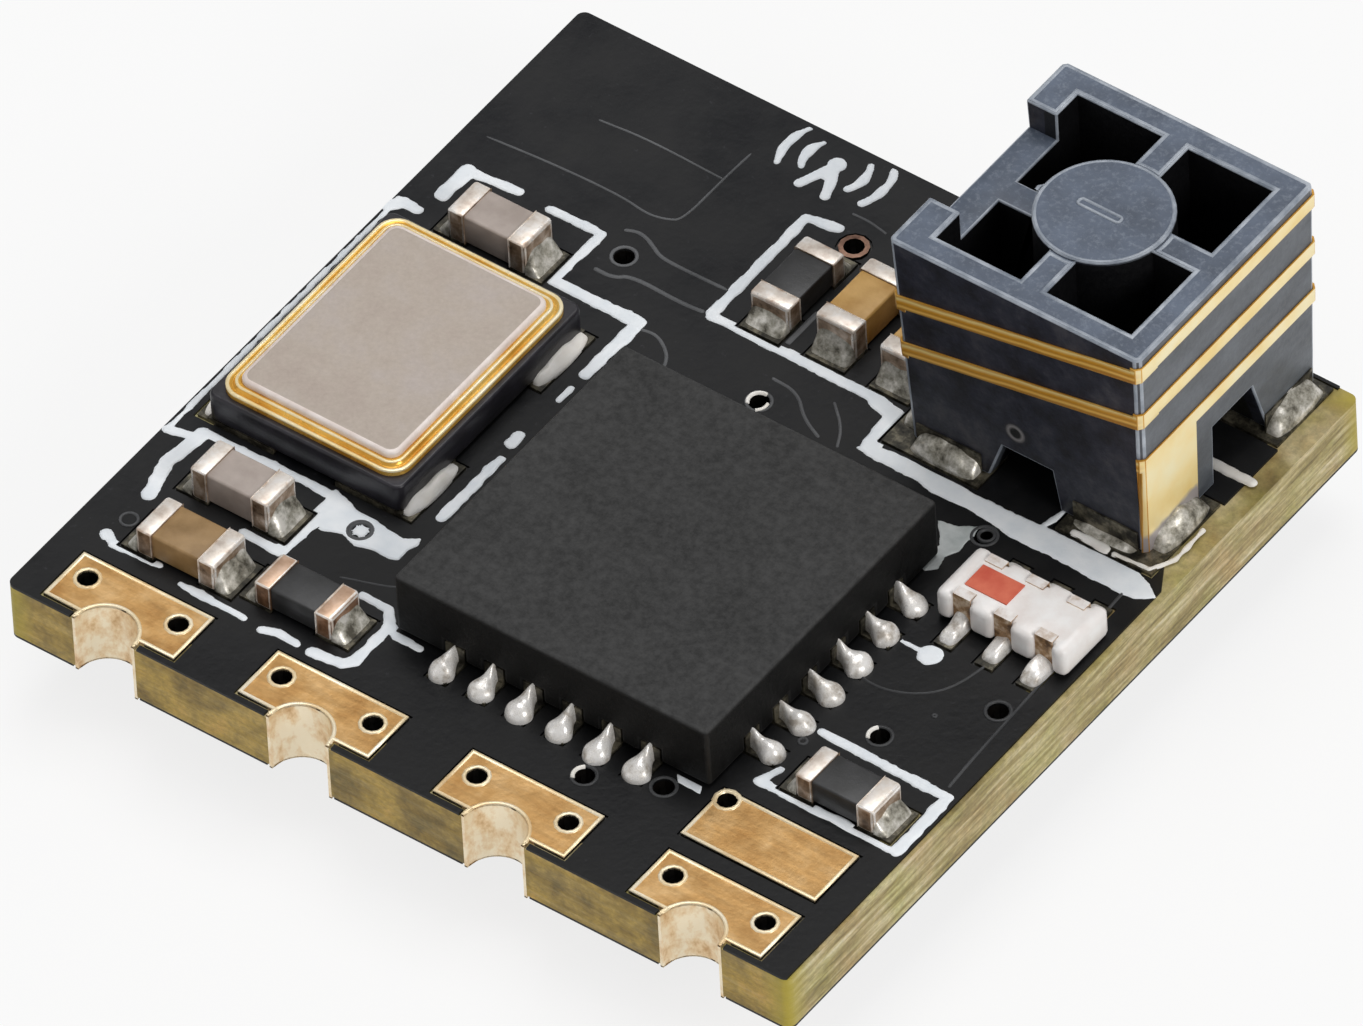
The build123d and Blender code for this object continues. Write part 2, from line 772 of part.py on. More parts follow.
def mask_edge():
    """Outline of the upper mask, which stops short of the right edge by the antenna."""
    right = [
        (half_board - mask_setback_front, -half_board),
        (half_board - mask_setback_middle, mask_step_start),
        (half_board - mask_setback_back, mask_step_end),
        (half_board - mask_setback_back, half_board),
    ]
    left = [(-half_board, half_board), (-half_board, -half_board)]
    return make_face(Polyline(*right, *left, close=True))


def solder_mask(low, high, outline, pads):
    """A skin of mask with its pad openings and via holes."""
    skin = extrude(Pos(0, 0, low) * outline, high - low) & board_outline(low, high)
    skin -= mask_cut(pads + edge_pad_rectangles(), low, high)
    skin = drilled(skin, [(x, -half_board) for x in edge_pad_x()], half_hole_radius + plating + mask_gap)
    return drilled(skin, vias, via_hole_radius, small_rod)


def upper_mask():
    """Mask on the upper side."""
    x, y = (test_pad_x0 + test_pad_x1) / 2, (test_pad_y0 + test_pad_y1) / 2
    size = (test_pad_x1 - test_pad_x0, test_pad_y1 - test_pad_y0)
    skin = solder_mask(laminate_top, mask_top, mask_edge(), top_pads() + [(x, y, *size)])
    return drilled(skin, [open_ring_via], open_ring_radius + mask_gap, small_rod)


def lower_mask():
    """Mask on the lower side."""
    skin = solder_mask(mask_bottom, laminate_bottom, Rectangle(board_side, board_side), bottom_pads())
    return drilled(skin, [test_via_place()], via_hole_radius + plating, small_rod)


def top_pads():
    """Every component pad on the upper side."""
    pads = turned(chip_pads(radio_side, radio_leads, radio_pitch, radio_thermal), *radio_place)
    pads += turned(oscillator_pads(), *oscillator_place)
    pads += turned(filter_pads(), *filter_place)
    pads += turned(antenna_pads(), *antenna_place)
    for size, x, y, turn in [*top_capacitors.values(), *top_resistors.values()]:
        pads += turned(two_pads(size), x, y, turn)
    return pads


def bottom_pads():
    """Every component pad on the lower side."""
    pads = turned(chip_pads(controller_side, controller_leads, controller_pitch, controller_thermal),
                  *controller_place)
    pads += turned(chip_pads(regulator_side, regulator_leads, regulator_pitch, regulator_thermal, False),
                   *regulator_place)
    corners = [(x, y, crystal_terminal, crystal_terminal) for x, y in crystal_corners()]
    pads += turned(corners, *crystal_place)
    pads += turned(two_pads(lamp_size), *lamp_place, 90)
    for size, x, y, turn in [*bottom_capacitors.values(), *bottom_resistors.values()]:
        pads += turned(two_pads(size), x, y, turn)
    return pads


def stroke_solid(width, points):
    """Ink along a line of points, with square corners."""
    pieces = []
    for (x0, y0), (x1, y1) in zip(points, points[1:]):
        length = math.hypot(x1 - x0, y1 - y0) + width
        angle = math.degrees(math.atan2(y1 - y0, x1 - x0))
        bar = Rot(0, 0, angle) * block(length, width, 0, ink_thickness)
        pieces.append(Pos((x0 + x1) / 2, (y0 + y1) / 2, mask_top) * bar)
    return joined(pieces)


def silkscreen():
    """White printed lines on the upper mask, clear of the pads and holes."""
    keep_out = mask_cut(top_pads(), mask_top, mask_top + ink_thickness)
    holes = [small_rod(via_hole_radius, mask_top, mask_top + ink_thickness, x, y) for x, y in vias]
    strokes = joined([stroke_solid(width, points) for width, points in ink_strokes]) - keep_out - holes
    return [strokes, rod(ink_dot_radius, mask_top, mask_top + ink_thickness, *ink_dot)]


# Output

def save(name, *shapes):
    """Write one node, from one shape or from a group of separate solids."""
    solids = [solid for shape in shapes for solid in shape.solids()]
    shape = solids[0] if len(solids) == 1 else Compound(solids)
    export_step(shape, os.path.join("parts", name + ".step"))


def save_board():
    """The bare board and what is plated or printed on it."""
    save("board_laminate", laminate())
    save("upper_solder_mask", upper_mask())
    save("lower_solder_mask", lower_mask())
    save("upper_silkscreen", *silkscreen())
    save("upper_copper_pads", *pad_solids(top_pads(), laminate_top, pad_top))
    save("lower_copper_pads", *pad_solids(bottom_pads(), pad_bottom, laminate_bottom))
    for number, x in enumerate(edge_pad_x(), 1):
        save(f"edge_pad_{number}", edge_pad(x))
    save("test_pad", test_pad())
    save("via_barrels", *via_barrels())


def save_chip(name, place, side, height, leads, pitch, thermal, both_ways=True):
    """One flat chip as body and lead frame, and its solder."""
    body, pins, slug = leaded_chip(side, height, leads, pitch, thermal, both_ways)
    save(name + "_body", place * body)
    save(name + "_lead_frame", *[place * piece for piece in [slug, *pins]])
    save(name + "_solder", *[place * wedge for wedge in chip_solder(side, leads, pitch, both_ways)])


def save_chip_parts(capacitors, resistors, side_name, place_on, solder=()):
    """Cores of the two-ended parts one by one, then their end caps and solder in groups."""
    caps = {"capacitor": [], "resistor": []}
    solder = list(solder)
    for kind, group in (("capacitor", capacitors), ("resistor", resistors)):
        for name, (size, x, y, turn) in group.items():
            place = place_on(x, y, turn)
            save(name, place * chip_core(size))
            caps[kind] += [place * cap for cap in cap_solids(size)]
            solder += [place * wedge for wedge in two_fillets(size)]
    for kind, solids in caps.items():
        save(f"{side_name}_{kind}_end_caps", *solids)
    save(f"{side_name}_chip_part_solder", *solder)


def save_oscillator():
    """Oscillator on the upper side."""
    place = on_top(*oscillator_place)
    save("oscillator_base", place * oscillator_base())
    save("oscillator_seal_ring", place * oscillator_ring())
    save("oscillator_lid", place * oscillator_lid())
    save("oscillator_terminals", *[place * pad for pad in oscillator_terminals()])
    save("oscillator_solder", *[place * wedge for wedge in oscillator_solder()])


def save_filter():
    """Filter block on the upper side."""
    place = on_top(*filter_place)
    save("filter_body", place * filter_body())
    save("filter_terminals", *[place * strip for strip in filter_terminals()])
    save("filter_mark", place * filter_mark())
    save("filter_solder", *[place * wedge for wedge in filter_solder()])


def save_antenna():
    """Moulded antenna on the upper side."""
    place = on_top(*antenna_place)
    save("antenna_body", place * antenna_body())
    save("antenna_track", place * antenna_track())
    save("antenna_foot_plates", *[place * plate for plate in antenna_foot_plates()])
    save("antenna_solder", *[place * wedge for wedge in antenna_solder()])


def save_crystal_and_lamp():
    """Crystal and status lamp on the lower side."""
    place = underneath(*crystal_place)
    save("crystal_base", place * crystal_base())
    save("crystal_lid", place * crystal_lid())
    save("crystal_terminals", *[place * pad for pad in crystal_terminals()])
    place = underneath(*lamp_place, 90)
    save("status_lamp_base", place * lamp_base())
    save("status_lamp_ends", *[place * end for end in lamp_ends()])
    save("status_lamp_lens", place * lamp_lens())


os.makedirs("parts", exist_ok=True)
save_board()
save_chip("radio_chip", on_top(*radio_place), radio_side, radio_height, radio_leads, radio_pitch,
          radio_thermal)
save_chip("controller_chip", underneath(*controller_place), controller_side, controller_height,
          controller_leads, controller_pitch, controller_thermal)
save_chip("regulator", underneath(*regulator_place), regulator_side, regulator_height,
          regulator_leads, regulator_pitch, regulator_thermal, both_ways=False)
save_oscillator()
save_filter()
save_antenna()
save_chip_parts(top_capacitors, top_resistors, "upper", on_top)
save_chip_parts(bottom_capacitors, bottom_resistors, "lower", underneath,
                [underneath(*lamp_place, 90) * wedge for wedge in lamp_solder()])
save_crystal_and_lamp()
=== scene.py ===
import json
import math
import random

import bmesh
import bpy
import numpy as np
from mathutils import Matrix, Vector

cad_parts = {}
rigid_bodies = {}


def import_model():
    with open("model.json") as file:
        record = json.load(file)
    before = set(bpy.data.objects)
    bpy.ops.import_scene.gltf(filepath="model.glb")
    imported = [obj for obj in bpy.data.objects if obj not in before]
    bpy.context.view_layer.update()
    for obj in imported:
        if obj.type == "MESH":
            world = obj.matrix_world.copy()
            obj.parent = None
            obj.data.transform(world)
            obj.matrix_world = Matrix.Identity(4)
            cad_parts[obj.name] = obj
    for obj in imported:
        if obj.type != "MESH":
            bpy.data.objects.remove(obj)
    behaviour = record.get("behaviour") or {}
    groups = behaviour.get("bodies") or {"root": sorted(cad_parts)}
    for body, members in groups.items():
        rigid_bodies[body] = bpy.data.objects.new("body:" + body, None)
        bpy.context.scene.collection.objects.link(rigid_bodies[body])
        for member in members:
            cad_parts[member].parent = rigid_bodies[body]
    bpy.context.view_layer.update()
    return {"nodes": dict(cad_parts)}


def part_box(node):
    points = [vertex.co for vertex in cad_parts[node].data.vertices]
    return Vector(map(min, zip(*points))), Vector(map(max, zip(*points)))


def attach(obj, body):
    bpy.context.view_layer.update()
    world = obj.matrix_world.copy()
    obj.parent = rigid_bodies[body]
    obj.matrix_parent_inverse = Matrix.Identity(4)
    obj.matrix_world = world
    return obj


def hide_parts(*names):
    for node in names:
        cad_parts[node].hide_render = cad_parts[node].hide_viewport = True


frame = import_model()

# The start-up file's own objects go
for spare in [o for o in bpy.data.objects if o.name in ("Cube", "Light", "Camera")]:
    bpy.data.objects.remove(spare)

# Everything below is in millimetres until a mesh is made; MM turns it into metres.
MM = 0.001

# Heights and places that the solids give
MASK_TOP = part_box("upper_solder_mask")[1][2] / MM
MASK_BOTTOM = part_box("lower_solder_mask")[0][2] / MM
PAD_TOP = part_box("upper_copper_pads")[1][2] / MM
PAD_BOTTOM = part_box("lower_copper_pads")[0][2] / MM
BOARD_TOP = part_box("board_laminate")[1][2] / MM
BOARD_MIDDLE = (BOARD_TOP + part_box("board_laminate")[0][2] / MM) / 2

# Camera, measured from the board's top at its middle
VIEW_AZIMUTH = 38.874
VIEW_ELEVATION = 46.139
VIEW_ROLL = -3.458
VIEW_DISTANCE = 400.0
VIEW_LENS = 1023.7
VIEW_SHIFT_RIGHT = -0.022
VIEW_SHIFT_UP = -0.245

# Height of the antenna's flat rim, and its winding: lowest turn, pitch and climb across the front face
ANTENNA_RIM = 4.51
TRACK_LOW = 2.93
TRACK_PITCH = 0.69
TRACK_CLIMB = 0.222

# Dimple on the antenna's front wall (X, Z), and the bare ring behind the chip parts (X, Y)
DIMPLE = 2.88, 2.48
OPEN_RING = -0.6, 3.8

# The mark left by the moulding gate stands this far above the antenna's boss
GATE_MARK_RISE = 0.018

# Half holes along the front edge: pitch, place of the edge and radius of the gold inside them
HOLE_PITCH = 2.5
HOLE_EDGE = -5.0
HOLE_REACH = 0.47


def box_mm(node):
    """Lowest and highest corner of a node, in millimetres."""
    low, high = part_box(node)
    return np.array(low) / MM, np.array(high) / MM


# Materials

class Look:
    """A principled material whose detail is set out in millimetres."""

    def __init__(self, name, colour, roughness, metallic=0.0, **sockets):
        self.material = bpy.data.materials.new(name)
        self.material.use_nodes = True
        self.tree = self.material.node_tree
        self.shader = self.tree.nodes["Principled BSDF"]
        self.shader.inputs["Base Color"].default_value = (*colour, 1)
        self.shader.inputs["Roughness"].default_value = roughness
        self.shader.inputs["Metallic"].default_value = metallic
        for socket, value in sockets.items():
            self.shader.inputs[socket.replace("_", " ")].default_value = value
        self.place = self.tree.nodes.new("ShaderNodeTexCoord").outputs["Object"]
        self.relief = None

    def node(self, kind, **values):
        """A new node with the given settings."""
        made = self.tree.nodes.new(kind)
        for key, value in values.items():
            setattr(made, key, value)
        return made

    def feed(self, socket, value):
        """Puts an output, a colour or a number into a socket."""
        if hasattr(value, "links"):
            self.tree.links.new(value, socket)
        elif isinstance(value, tuple):
            socket.default_value = (*value, 1)
        else:
            socket.default_value = value

    def scaled(self, x, y, z):
        """Object place stretched by a factor a millimetre on each axis."""
        mapping = self.node("ShaderNodeMapping")
        mapping.inputs["Scale"].default_value = (x / MM, y / MM, z / MM)
        self.feed(mapping.inputs["Vector"], self.place)
        return mapping.outputs["Vector"]

    def noise(self, per_mm, detail=3.0, rough=0.55, stretch=(1, 1, 1)):
        """Cloudy noise, from 0 to 1."""
        made = self.node("ShaderNodeTexNoise")
        made.inputs["Scale"].default_value = 1.0
        made.inputs["Detail"].default_value = detail
        made.inputs["Roughness"].default_value = rough
        self.feed(made.inputs["Vector"], self.scaled(*[per_mm * s for s in stretch]))
        return made.outputs["Fac"]

    def ramp(self, fac, *stops):
        """Colours or greys at places from 0 to 1."""
        made = self.node("ShaderNodeValToRGB")
        elements = made.color_ramp.elements
        while len(elements) < len(stops):
            elements.new(0.5)
        for element, (position, value) in zip(elements, stops):
            element.position = position
            colour = value if isinstance(value, tuple) else (value, value, value)
            element.color = (*colour, 1)
        self.feed(made.inputs["Fac"], fac)
        return made.outputs["Color"]

    def mix(self, fac, a, b, blend="MIX"):
        """Two colours mixed; each is an output or a colour."""
        made = self.node("ShaderNodeMix", data_type="RGBA", blend_type=blend)
        for number, value in ((0, fac), (6, a), (7, b)):
            self.feed(made.inputs[number], value)
        return made.outputs[2]

    def maths(self, operation, a, b=0.0):
        """One sum on outputs or numbers."""
        made = self.node("ShaderNodeMath", operation=operation)
        self.feed(made.inputs[0], a)
        self.feed(made.inputs[1], b)
        return made.outputs[0]

    def axis(self, name):
        """One object coordinate, in millimetres."""
        split = self.node("ShaderNodeSeparateXYZ")
        self.feed(split.inputs[0], self.scaled(1, 1, 1))
        return split.outputs[name]

    def past(self, name, value):
        """How far a place lies past a value on one axis, in millimetres."""
        return self.maths("SUBTRACT", self.axis(name), value)

    def length(self, a, b):
        """Length of the line with these two sides."""
        return self.maths("SQRT", self.maths("ADD", self.maths("MULTIPLY", a, a), self.maths("MULTIPLY", b, b)))

    def facing(self, name):
        """How far the surface faces along an axis, from -1 to 1."""
        split = self.node("ShaderNodeSeparateXYZ")
        geometry = self.node("ShaderNodeNewGeometry")
        self.feed(split.inputs[0], geometry.outputs["Normal"])
        return split.outputs[name]

    def level(self):
        """1 where the surface lies flat, 0 on walls."""
        steep = self.maths("ABSOLUTE", self.facing("Z"))
        return self.ramp(steep, (0.35, 0.0), (0.75, 1.0))

    def colour(self, output):
        """Sets what drives the base colour."""
        self.feed(self.shader.inputs["Base Color"], output)

    def rough(self, output):
        """Sets what drives the roughness."""
        self.feed(self.shader.inputs["Roughness"], output)

    def bump(self, output, depth, strength=1.0):
        """Adds relief, with its depth in millimetres."""
        made = self.node("ShaderNodeBump")
        made.inputs["Distance"].default_value = depth * MM
        made.inputs["Strength"].default_value = strength
        self.feed(made.inputs["Height"], output)
        if self.relief is not None:
            self.feed(made.inputs["Normal"], self.relief)
        self.relief = made.outputs["Normal"]
        self.feed(self.shader.inputs["Normal"], self.relief)


def mask_look(name, dark, pale):
    """Black solder mask: semi-gloss, faintly dimpled over the glass weave, with dusty specks and a painted shade across
    the board.
    """
    look = Look(name, dark, 0.45, Specular_IOR_Level=0.26)
    cloud = look.noise(0.8, 5.0, 0.62)
    fine = look.noise(14.0, 2.0)
    speck = look.noise(8.0, 3.0, 0.7)
    base = look.ramp(cloud, (0.36, dark), (0.66, pale))
    # Painted shade: the mask is multiplied darker towards +X and -Y and lighter towards -X and +Y
    far = look.maths("SUBTRACT", look.axis("Y"), look.axis("X"))
    painted_falloff_shade = look.ramp(look.maths("ADD", look.maths("MULTIPLY", far, 0.07), 0.45), (0.2, 0.55), (0.9, 1.35))
    dusty = look.mix(look.ramp(speck, (0.66, 0.0), (0.76, 0.4)), base, (0.06, 0.06, 0.07))
    look.colour(look.mix(1.0, dusty, painted_falloff_shade, "MULTIPLY"))
    look.rough(look.ramp(cloud, (0.35, 0.36), (0.65, 0.56)))
    look.bump(fine, 0.004, 0.6)
    look.bump(cloud, 0.02, 0.5)
    return look.material


def laminate_look():
    """Sawn glass laminate: olive resin on the front edge, tan fibre layers on the sides."""
    look = Look("laminate", (0.4, 0.33, 0.16), 0.5, Specular_IOR_Level=0.45)
    layers = look.noise(1.0, 3.0, 0.6, (0.8, 0.8, 12.0))
    patches = look.noise(1.4, 4.0, 0.62)
    speck = look.noise(12.0, 3.0, 0.7, (1.0, 1.0, 1.6))
    fibre = look.ramp(layers, (0.28, (0.20, 0.145, 0.045)), (0.46, (0.40, 0.32, 0.13)),
                      (0.60, (0.62, 0.53, 0.31)), (0.76, (0.80, 0.73, 0.54)))
    resin = look.ramp(patches, (0.30, (0.095, 0.050, 0.010)), (0.44, (0.30, 0.180, 0.028)),
                      (0.58, (0.52, 0.350, 0.055)), (0.74, (0.70, 0.500, 0.12)))
    along_front = look.ramp(look.maths("ABSOLUTE", look.facing("Y")), (0.4, 0.0), (0.8, 0.8))
    base = look.mix(along_front, fibre, resin)
    warm = look.ramp(patches, (0.35, (0.80, 0.84, 0.50)), (0.55, (1.0, 0.97, 0.90)), (0.7, (1.0, 0.84, 0.70)))
    tinted = look.mix(0.8, base, warm, "MULTIPLY")
    grained = look.mix(0.5, tinted, look.ramp(speck, (0.32, 0.5), (0.55, 1.0), (0.72, 1.4)), "MULTIPLY")
    x_reach = look.maths("ABSOLUTE", look.axis("X"))
    y_reach = look.maths("ABSOLUTE", look.axis("Y"))
    near_corner = look.ramp(look.maths("MULTIPLY", look.maths("MINIMUM", x_reach, y_reach), 0.2),
                            (0.93, 0.0), (0.99, 0.85))
    sawn = look.mix(near_corner, grained, (0.46, 0.37, 0.035))
    # Painted shade: flat laminate inside the board, seen in the gaps, is painted near black
    in_shaded_gap = look.maths("MULTIPLY", look.level(), look.maths("LESS_THAN", look.maths("MAXIMUM", x_reach, y_reach), 4.6))
    look.colour(look.mix(in_shaded_gap, sawn, (0.010, 0.009, 0.007)))
    look.bump(layers, 0.02, 0.6)
    look.bump(speck, 0.012, 0.6)
    return look.material


def pad_look():
    """Gold over copper, brushed on the flats, pale and streaked in the half holes, and painted near black as shade down
    the vias and other walls.
    """
    look = Look("gold_pad", (0.58, 0.33, 0.11), 0.42, 0.6)
    brushed = look.noise(2.0, 4.0, 0.6, (0.8, 6.0, 1.0))
    stain = look.noise(2.6, 4.0, 0.6)
    fine = look.noise(24.0, 3.0)
    base = look.ramp(stain, (0.3, (0.44, 0.225, 0.065)), (0.5, (0.58, 0.335, 0.12)), (0.72, (0.74, 0.48, 0.22)))
    flat = look.mix(0.8, base, look.ramp(brushed, (0.35, 0.80), (0.65, 1.12)), "MULTIPLY")
    streaks = look.noise(1.0, 4.0, 0.65, (5.0, 5.0, 3.4))
    barrel = look.ramp(streaks, (0.28, (0.60, 0.37, 0.17)), (0.42, (0.84, 0.63, 0.38)), (0.56, (0.96, 0.84, 0.62)))
    offset = look.maths("PINGPONG", look.axis("X"), HOLE_PITCH / 2)
    spread = look.length(look.maths("SUBTRACT", offset, HOLE_PITCH / 2), look.past("Y", HOLE_EDGE))
    in_hole = look.maths("LESS_THAN", spread, HOLE_REACH)
    # Painted shade: walls outside the half holes, down the vias, are painted near black
    walls = look.mix(in_hole, (0.012, 0.009, 0.007), barrel)
    in_ring = look.maths("LESS_THAN", look.length(look.past("X", OPEN_RING[0]), look.past("Y", OPEN_RING[1])), 0.3)
    tarnished = look.ramp(stain, (0.36, (0.07, 0.030, 0.018)), (0.62, (0.40, 0.23, 0.16)))
    look.colour(look.mix(look.level(), walls, look.mix(in_ring, flat, tarnished)))
    look.rough(look.ramp(fine, (0.3, 0.34), (0.7, 0.52)))
    look.bump(streaks, 0.010, 0.5)
    look.bump(fine, 0.003, 0.5)
    return look.material


def gilt_look(name, dark, mid, pale, roughness, metallic=0.7):
    """Gold plating over a moulded or ceramic surface."""
    look = Look(name, mid, roughness, metallic)
    ripple = look.noise(1.8, 3.0, 0.5)
    look.colour(look.ramp(ripple, (0.32, dark), (0.5, mid), (0.70, pale)))
    look.rough(look.ramp(look.noise(5.0, 2.0), (0.3, roughness * 0.85), (0.7, roughness * 1.2)))
    look.bump(ripple, 0.002, 0.4)
    return look.material


def metal_look(name, dark, mid, pale, patches_per_mm, smooth, dull, metallic=0.45, depth=0.008):
    """Tinned or soldered metal with dull flux-stained patches."""
    look = Look(name, mid, smooth, metallic)
    patches = look.noise(patches_per_mm, 4.0, 0.65)
    fine = look.noise(30.0, 3.0)
    look.colour(look.ramp(patches, (0.34, dark), (0.48, mid), (0.64, pale)))
    look.rough(look.ramp(patches, (0.35, dull), (0.6, smooth)))
    look.bump(patches, depth, 0.6)
    look.bump(fine, 0.004, 0.6)
    return look.material


def cap_look():
    """Tinned end caps: pale on top, coppery and stained down the sides, with painted light on top and painted shade
    down the sides.
    """
    look = Look("end_cap", (0.80, 0.74, 0.68), 0.34, 0.45)
    patches = look.noise(6.0, 4.0, 0.6)
    fine = look.noise(28.0, 2.0)
    top = look.ramp(patches, (0.32, (0.62, 0.52, 0.44)), (0.5, (0.82, 0.74, 0.66)), (0.7, (0.93, 0.89, 0.85)))
    side = look.ramp(patches, (0.32, (0.13, 0.080, 0.045)), (0.5, (0.40, 0.28, 0.19)), (0.7, (0.74, 0.62, 0.52)))
    middle = np.mean(box_mm("resistor_front_left"), axis=0)
    from_x = look.maths("ABSOLUTE", look.past("X", middle[0]))
    from_y = look.maths("ABSOLUTE", look.past("Y", middle[1]))
    near = look.maths("LESS_THAN", look.maths("MAXIMUM", from_x, look.maths("MULTIPLY", from_y, 1.8)), 0.58)
    coppery = look.mix(look.maths("MULTIPLY", near, 0.9), (1.0, 1.0, 1.0), (0.74, 0.52, 0.38))
    # Painted light and shade: flats take the pale ramp, walls the dark one
    look.colour(look.mix(1.0, look.mix(look.level(), side, top), coppery, "MULTIPLY"))
    look.rough(look.ramp(fine, (0.3, 0.28), (0.7, 0.45)))
    look.bump(patches, 0.006, 0.6)
    return look.material


def terminal_look():
    """The filter's fired terminals: cream on top, brown and gold where they run down their grooves, partly painted
    light on top and painted shade in the grooves.
    """
    look = Look("filter_terminal", (0.80, 0.74, 0.68), 0.4, 0.2)
    patches = look.noise(7.0, 4.0, 0.6)
    top = look.ramp(patches, (0.34, (0.60, 0.50, 0.42)), (0.5, (0.80, 0.75, 0.72)), (0.66, (0.88, 0.85, 0.83)))
    side = look.ramp(patches, (0.34, (0.14, 0.075, 0.035)), (0.48, (0.46, 0.27, 0.13)), (0.64, (0.86, 0.72, 0.56)))
    # Painted light and shade: flats take the pale ramp, the walls in the grooves the dark one
    look.colour(look.mix(look.level(), side, top))
    look.bump(patches, 0.006, 0.6)
    return look.material


def mould_look(name, dark, pale, wall_shade):
    """Moulding compound: matt and grainy, faintly mottled, with painted shade darker down its walls."""
    look = Look(name, dark, 0.62, Specular_IOR_Level=0.25)
    grain = look.noise(9.0, 4.0, 0.75)
    cloud = look.noise(1.5, 4.0)
    top = look.mix(0.25, look.ramp(grain, (0.36, dark), (0.64, pale)), look.ramp(cloud, (0.35, dark), (0.65, pale)))
    # Painted shade: walls are multiplied down to wall_shade
    look.colour(look.mix(1.0, top, look.ramp(look.level(), (0.0, wall_shade), (1.0, 1.0)), "MULTIPLY"))
    look.rough(look.ramp(grain, (0.3, 0.55), (0.7, 0.75)))
    look.bump(grain, 0.012, 0.7)
    return look.material


def ceramic_look(name, dark, pale, roughness=0.45):
    """Fired ceramic or print with fine grain and soft blotches."""
    look = Look(name, pale, roughness, Specular_IOR_Level=0.5)
    blotch = look.noise(3.5, 4.0)
    fine = look.noise(24.0, 3.0)
    look.colour(look.ramp(blotch, (0.3, dark), (0.7, pale)))
    look.bump(fine, 0.004, 0.6)
    return look.material


def lid_look():
    """Matt nickel lid, warm grey with a rolled grain and faint stains."""
    look = Look("lid", (0.42, 0.36, 0.31), 0.48, 0.25)
    cloud = look.noise(1.6, 5.0, 0.6)
    fine = look.noise(20.0, 4.0, 0.7)
    stained = look.ramp(cloud, (0.3, (0.42, 0.34, 0.29)), (0.5, (0.48, 0.41, 0.345)), (0.7, (0.50, 0.44, 0.41)))
    look.colour(look.mix(0.4, stained, look.ramp(fine, (0.3, (0.40, 0.34, 0.30)), (0.7, (0.56, 0.49, 0.44)))))
    look.bump(fine, 0.003, 0.5)
    return look.material


def antenna_look(name, dark, pale):
    """Slate moulded plastic: satin, speckled, paler on top as painted light, with painted shade on its front wall and
    near black in its pockets, and a painted dimple.
    """
    look = Look(name, dark, 0.42, Specular_IOR_Level=0.5)
    flow = look.noise(1.6, 4.0, 0.6, (1.0, 1.0, 2.2))
    speck = look.noise(17.0, 3.0, 0.7)
    blotch = look.noise(2.4, 4.0, 0.65)
    low, high = box_mm("antenna_body")
    skin = look.ramp(flow, (0.32, dark), (0.68, pale))
    # Painted light: the top is multiplied paler and bluer
    painted_top_light = look.mix(1.0, skin, (1.30, 1.42, 1.62), "MULTIPLY")
    top = look.mix(look.ramp(speck, (0.50, 0.0), (0.72, 0.35)), painted_top_light, (0.30, 0.34, 0.40))
    # Painted shade: the front wall is near black, with blotches
    front = look.ramp(look.maths("MULTIPLY", look.facing("Y"), -1.0), (0.5, 0.0), (0.9, 1.0))
    painted_front_shade = look.ramp(blotch, (0.36, (0.006, 0.006, 0.011)), (0.52, (0.018, 0.020, 0.034)), (0.68, (0.050, 0.050, 0.062)))
    # Painted shade and highlight: a dark hollow with a pale ring marks the dimple on the front wall
    away = look.length(look.past("X", DIMPLE[0]), look.past("Z", DIMPLE[1]))
    painted_dimple = look.ramp(away, (0.06, (0.002, 0.002, 0.002)), (0.09, (0.26, 0.25, 0.25)), (0.13, (0.03, 0.03, 0.035)))
    marked = look.mix(look.ramp(away, (0.12, 1.0), (0.15, 0.0)), painted_front_shade, painted_dimple)
    # Painted light: the other walls are multiplied paler
    painted_side_light = look.mix(1.0, skin, (1.25, 1.22, 1.15), "MULTIPLY")
    walls = look.mix(front, painted_side_light, marked)
    flat = look.level()
    walled = look.maths("SUBTRACT", 1.0, flat)
    outer = look.mix(flat, walls, top)
    # Painted shade: faces in the pockets, below the rim, are painted near black
    x_in = look.maths("ABSOLUTE", look.past("X", (low[0] + high[0]) / 2))
    y_in = look.maths("ABSOLUTE", look.past("Y", (low[1] + high[1]) / 2))
    inside = look.maths("LESS_THAN", look.maths("MAXIMUM", x_in, y_in), 1.36)
    below = look.maths("LESS_THAN", look.axis("Z"), high[2] - 0.06)
    deep = look.maths("LESS_THAN", look.axis("Z"), high[2] - 0.6)
    painted_pocket_shade = look.maths("MULTIPLY", inside, look.maths("MULTIPLY", below, look.maths("MAXIMUM", deep, walled)))
    look.colour(look.mix(painted_pocket_shade, outer, (0.004, 0.004, 0.005)))
    look.rough(look.ramp(speck, (0.3, 0.36), (0.7, 0.52)))
    look.bump(speck, 0.005, 0.7)
    look.bump(flow, 0.012, 0.4)
    return look.material


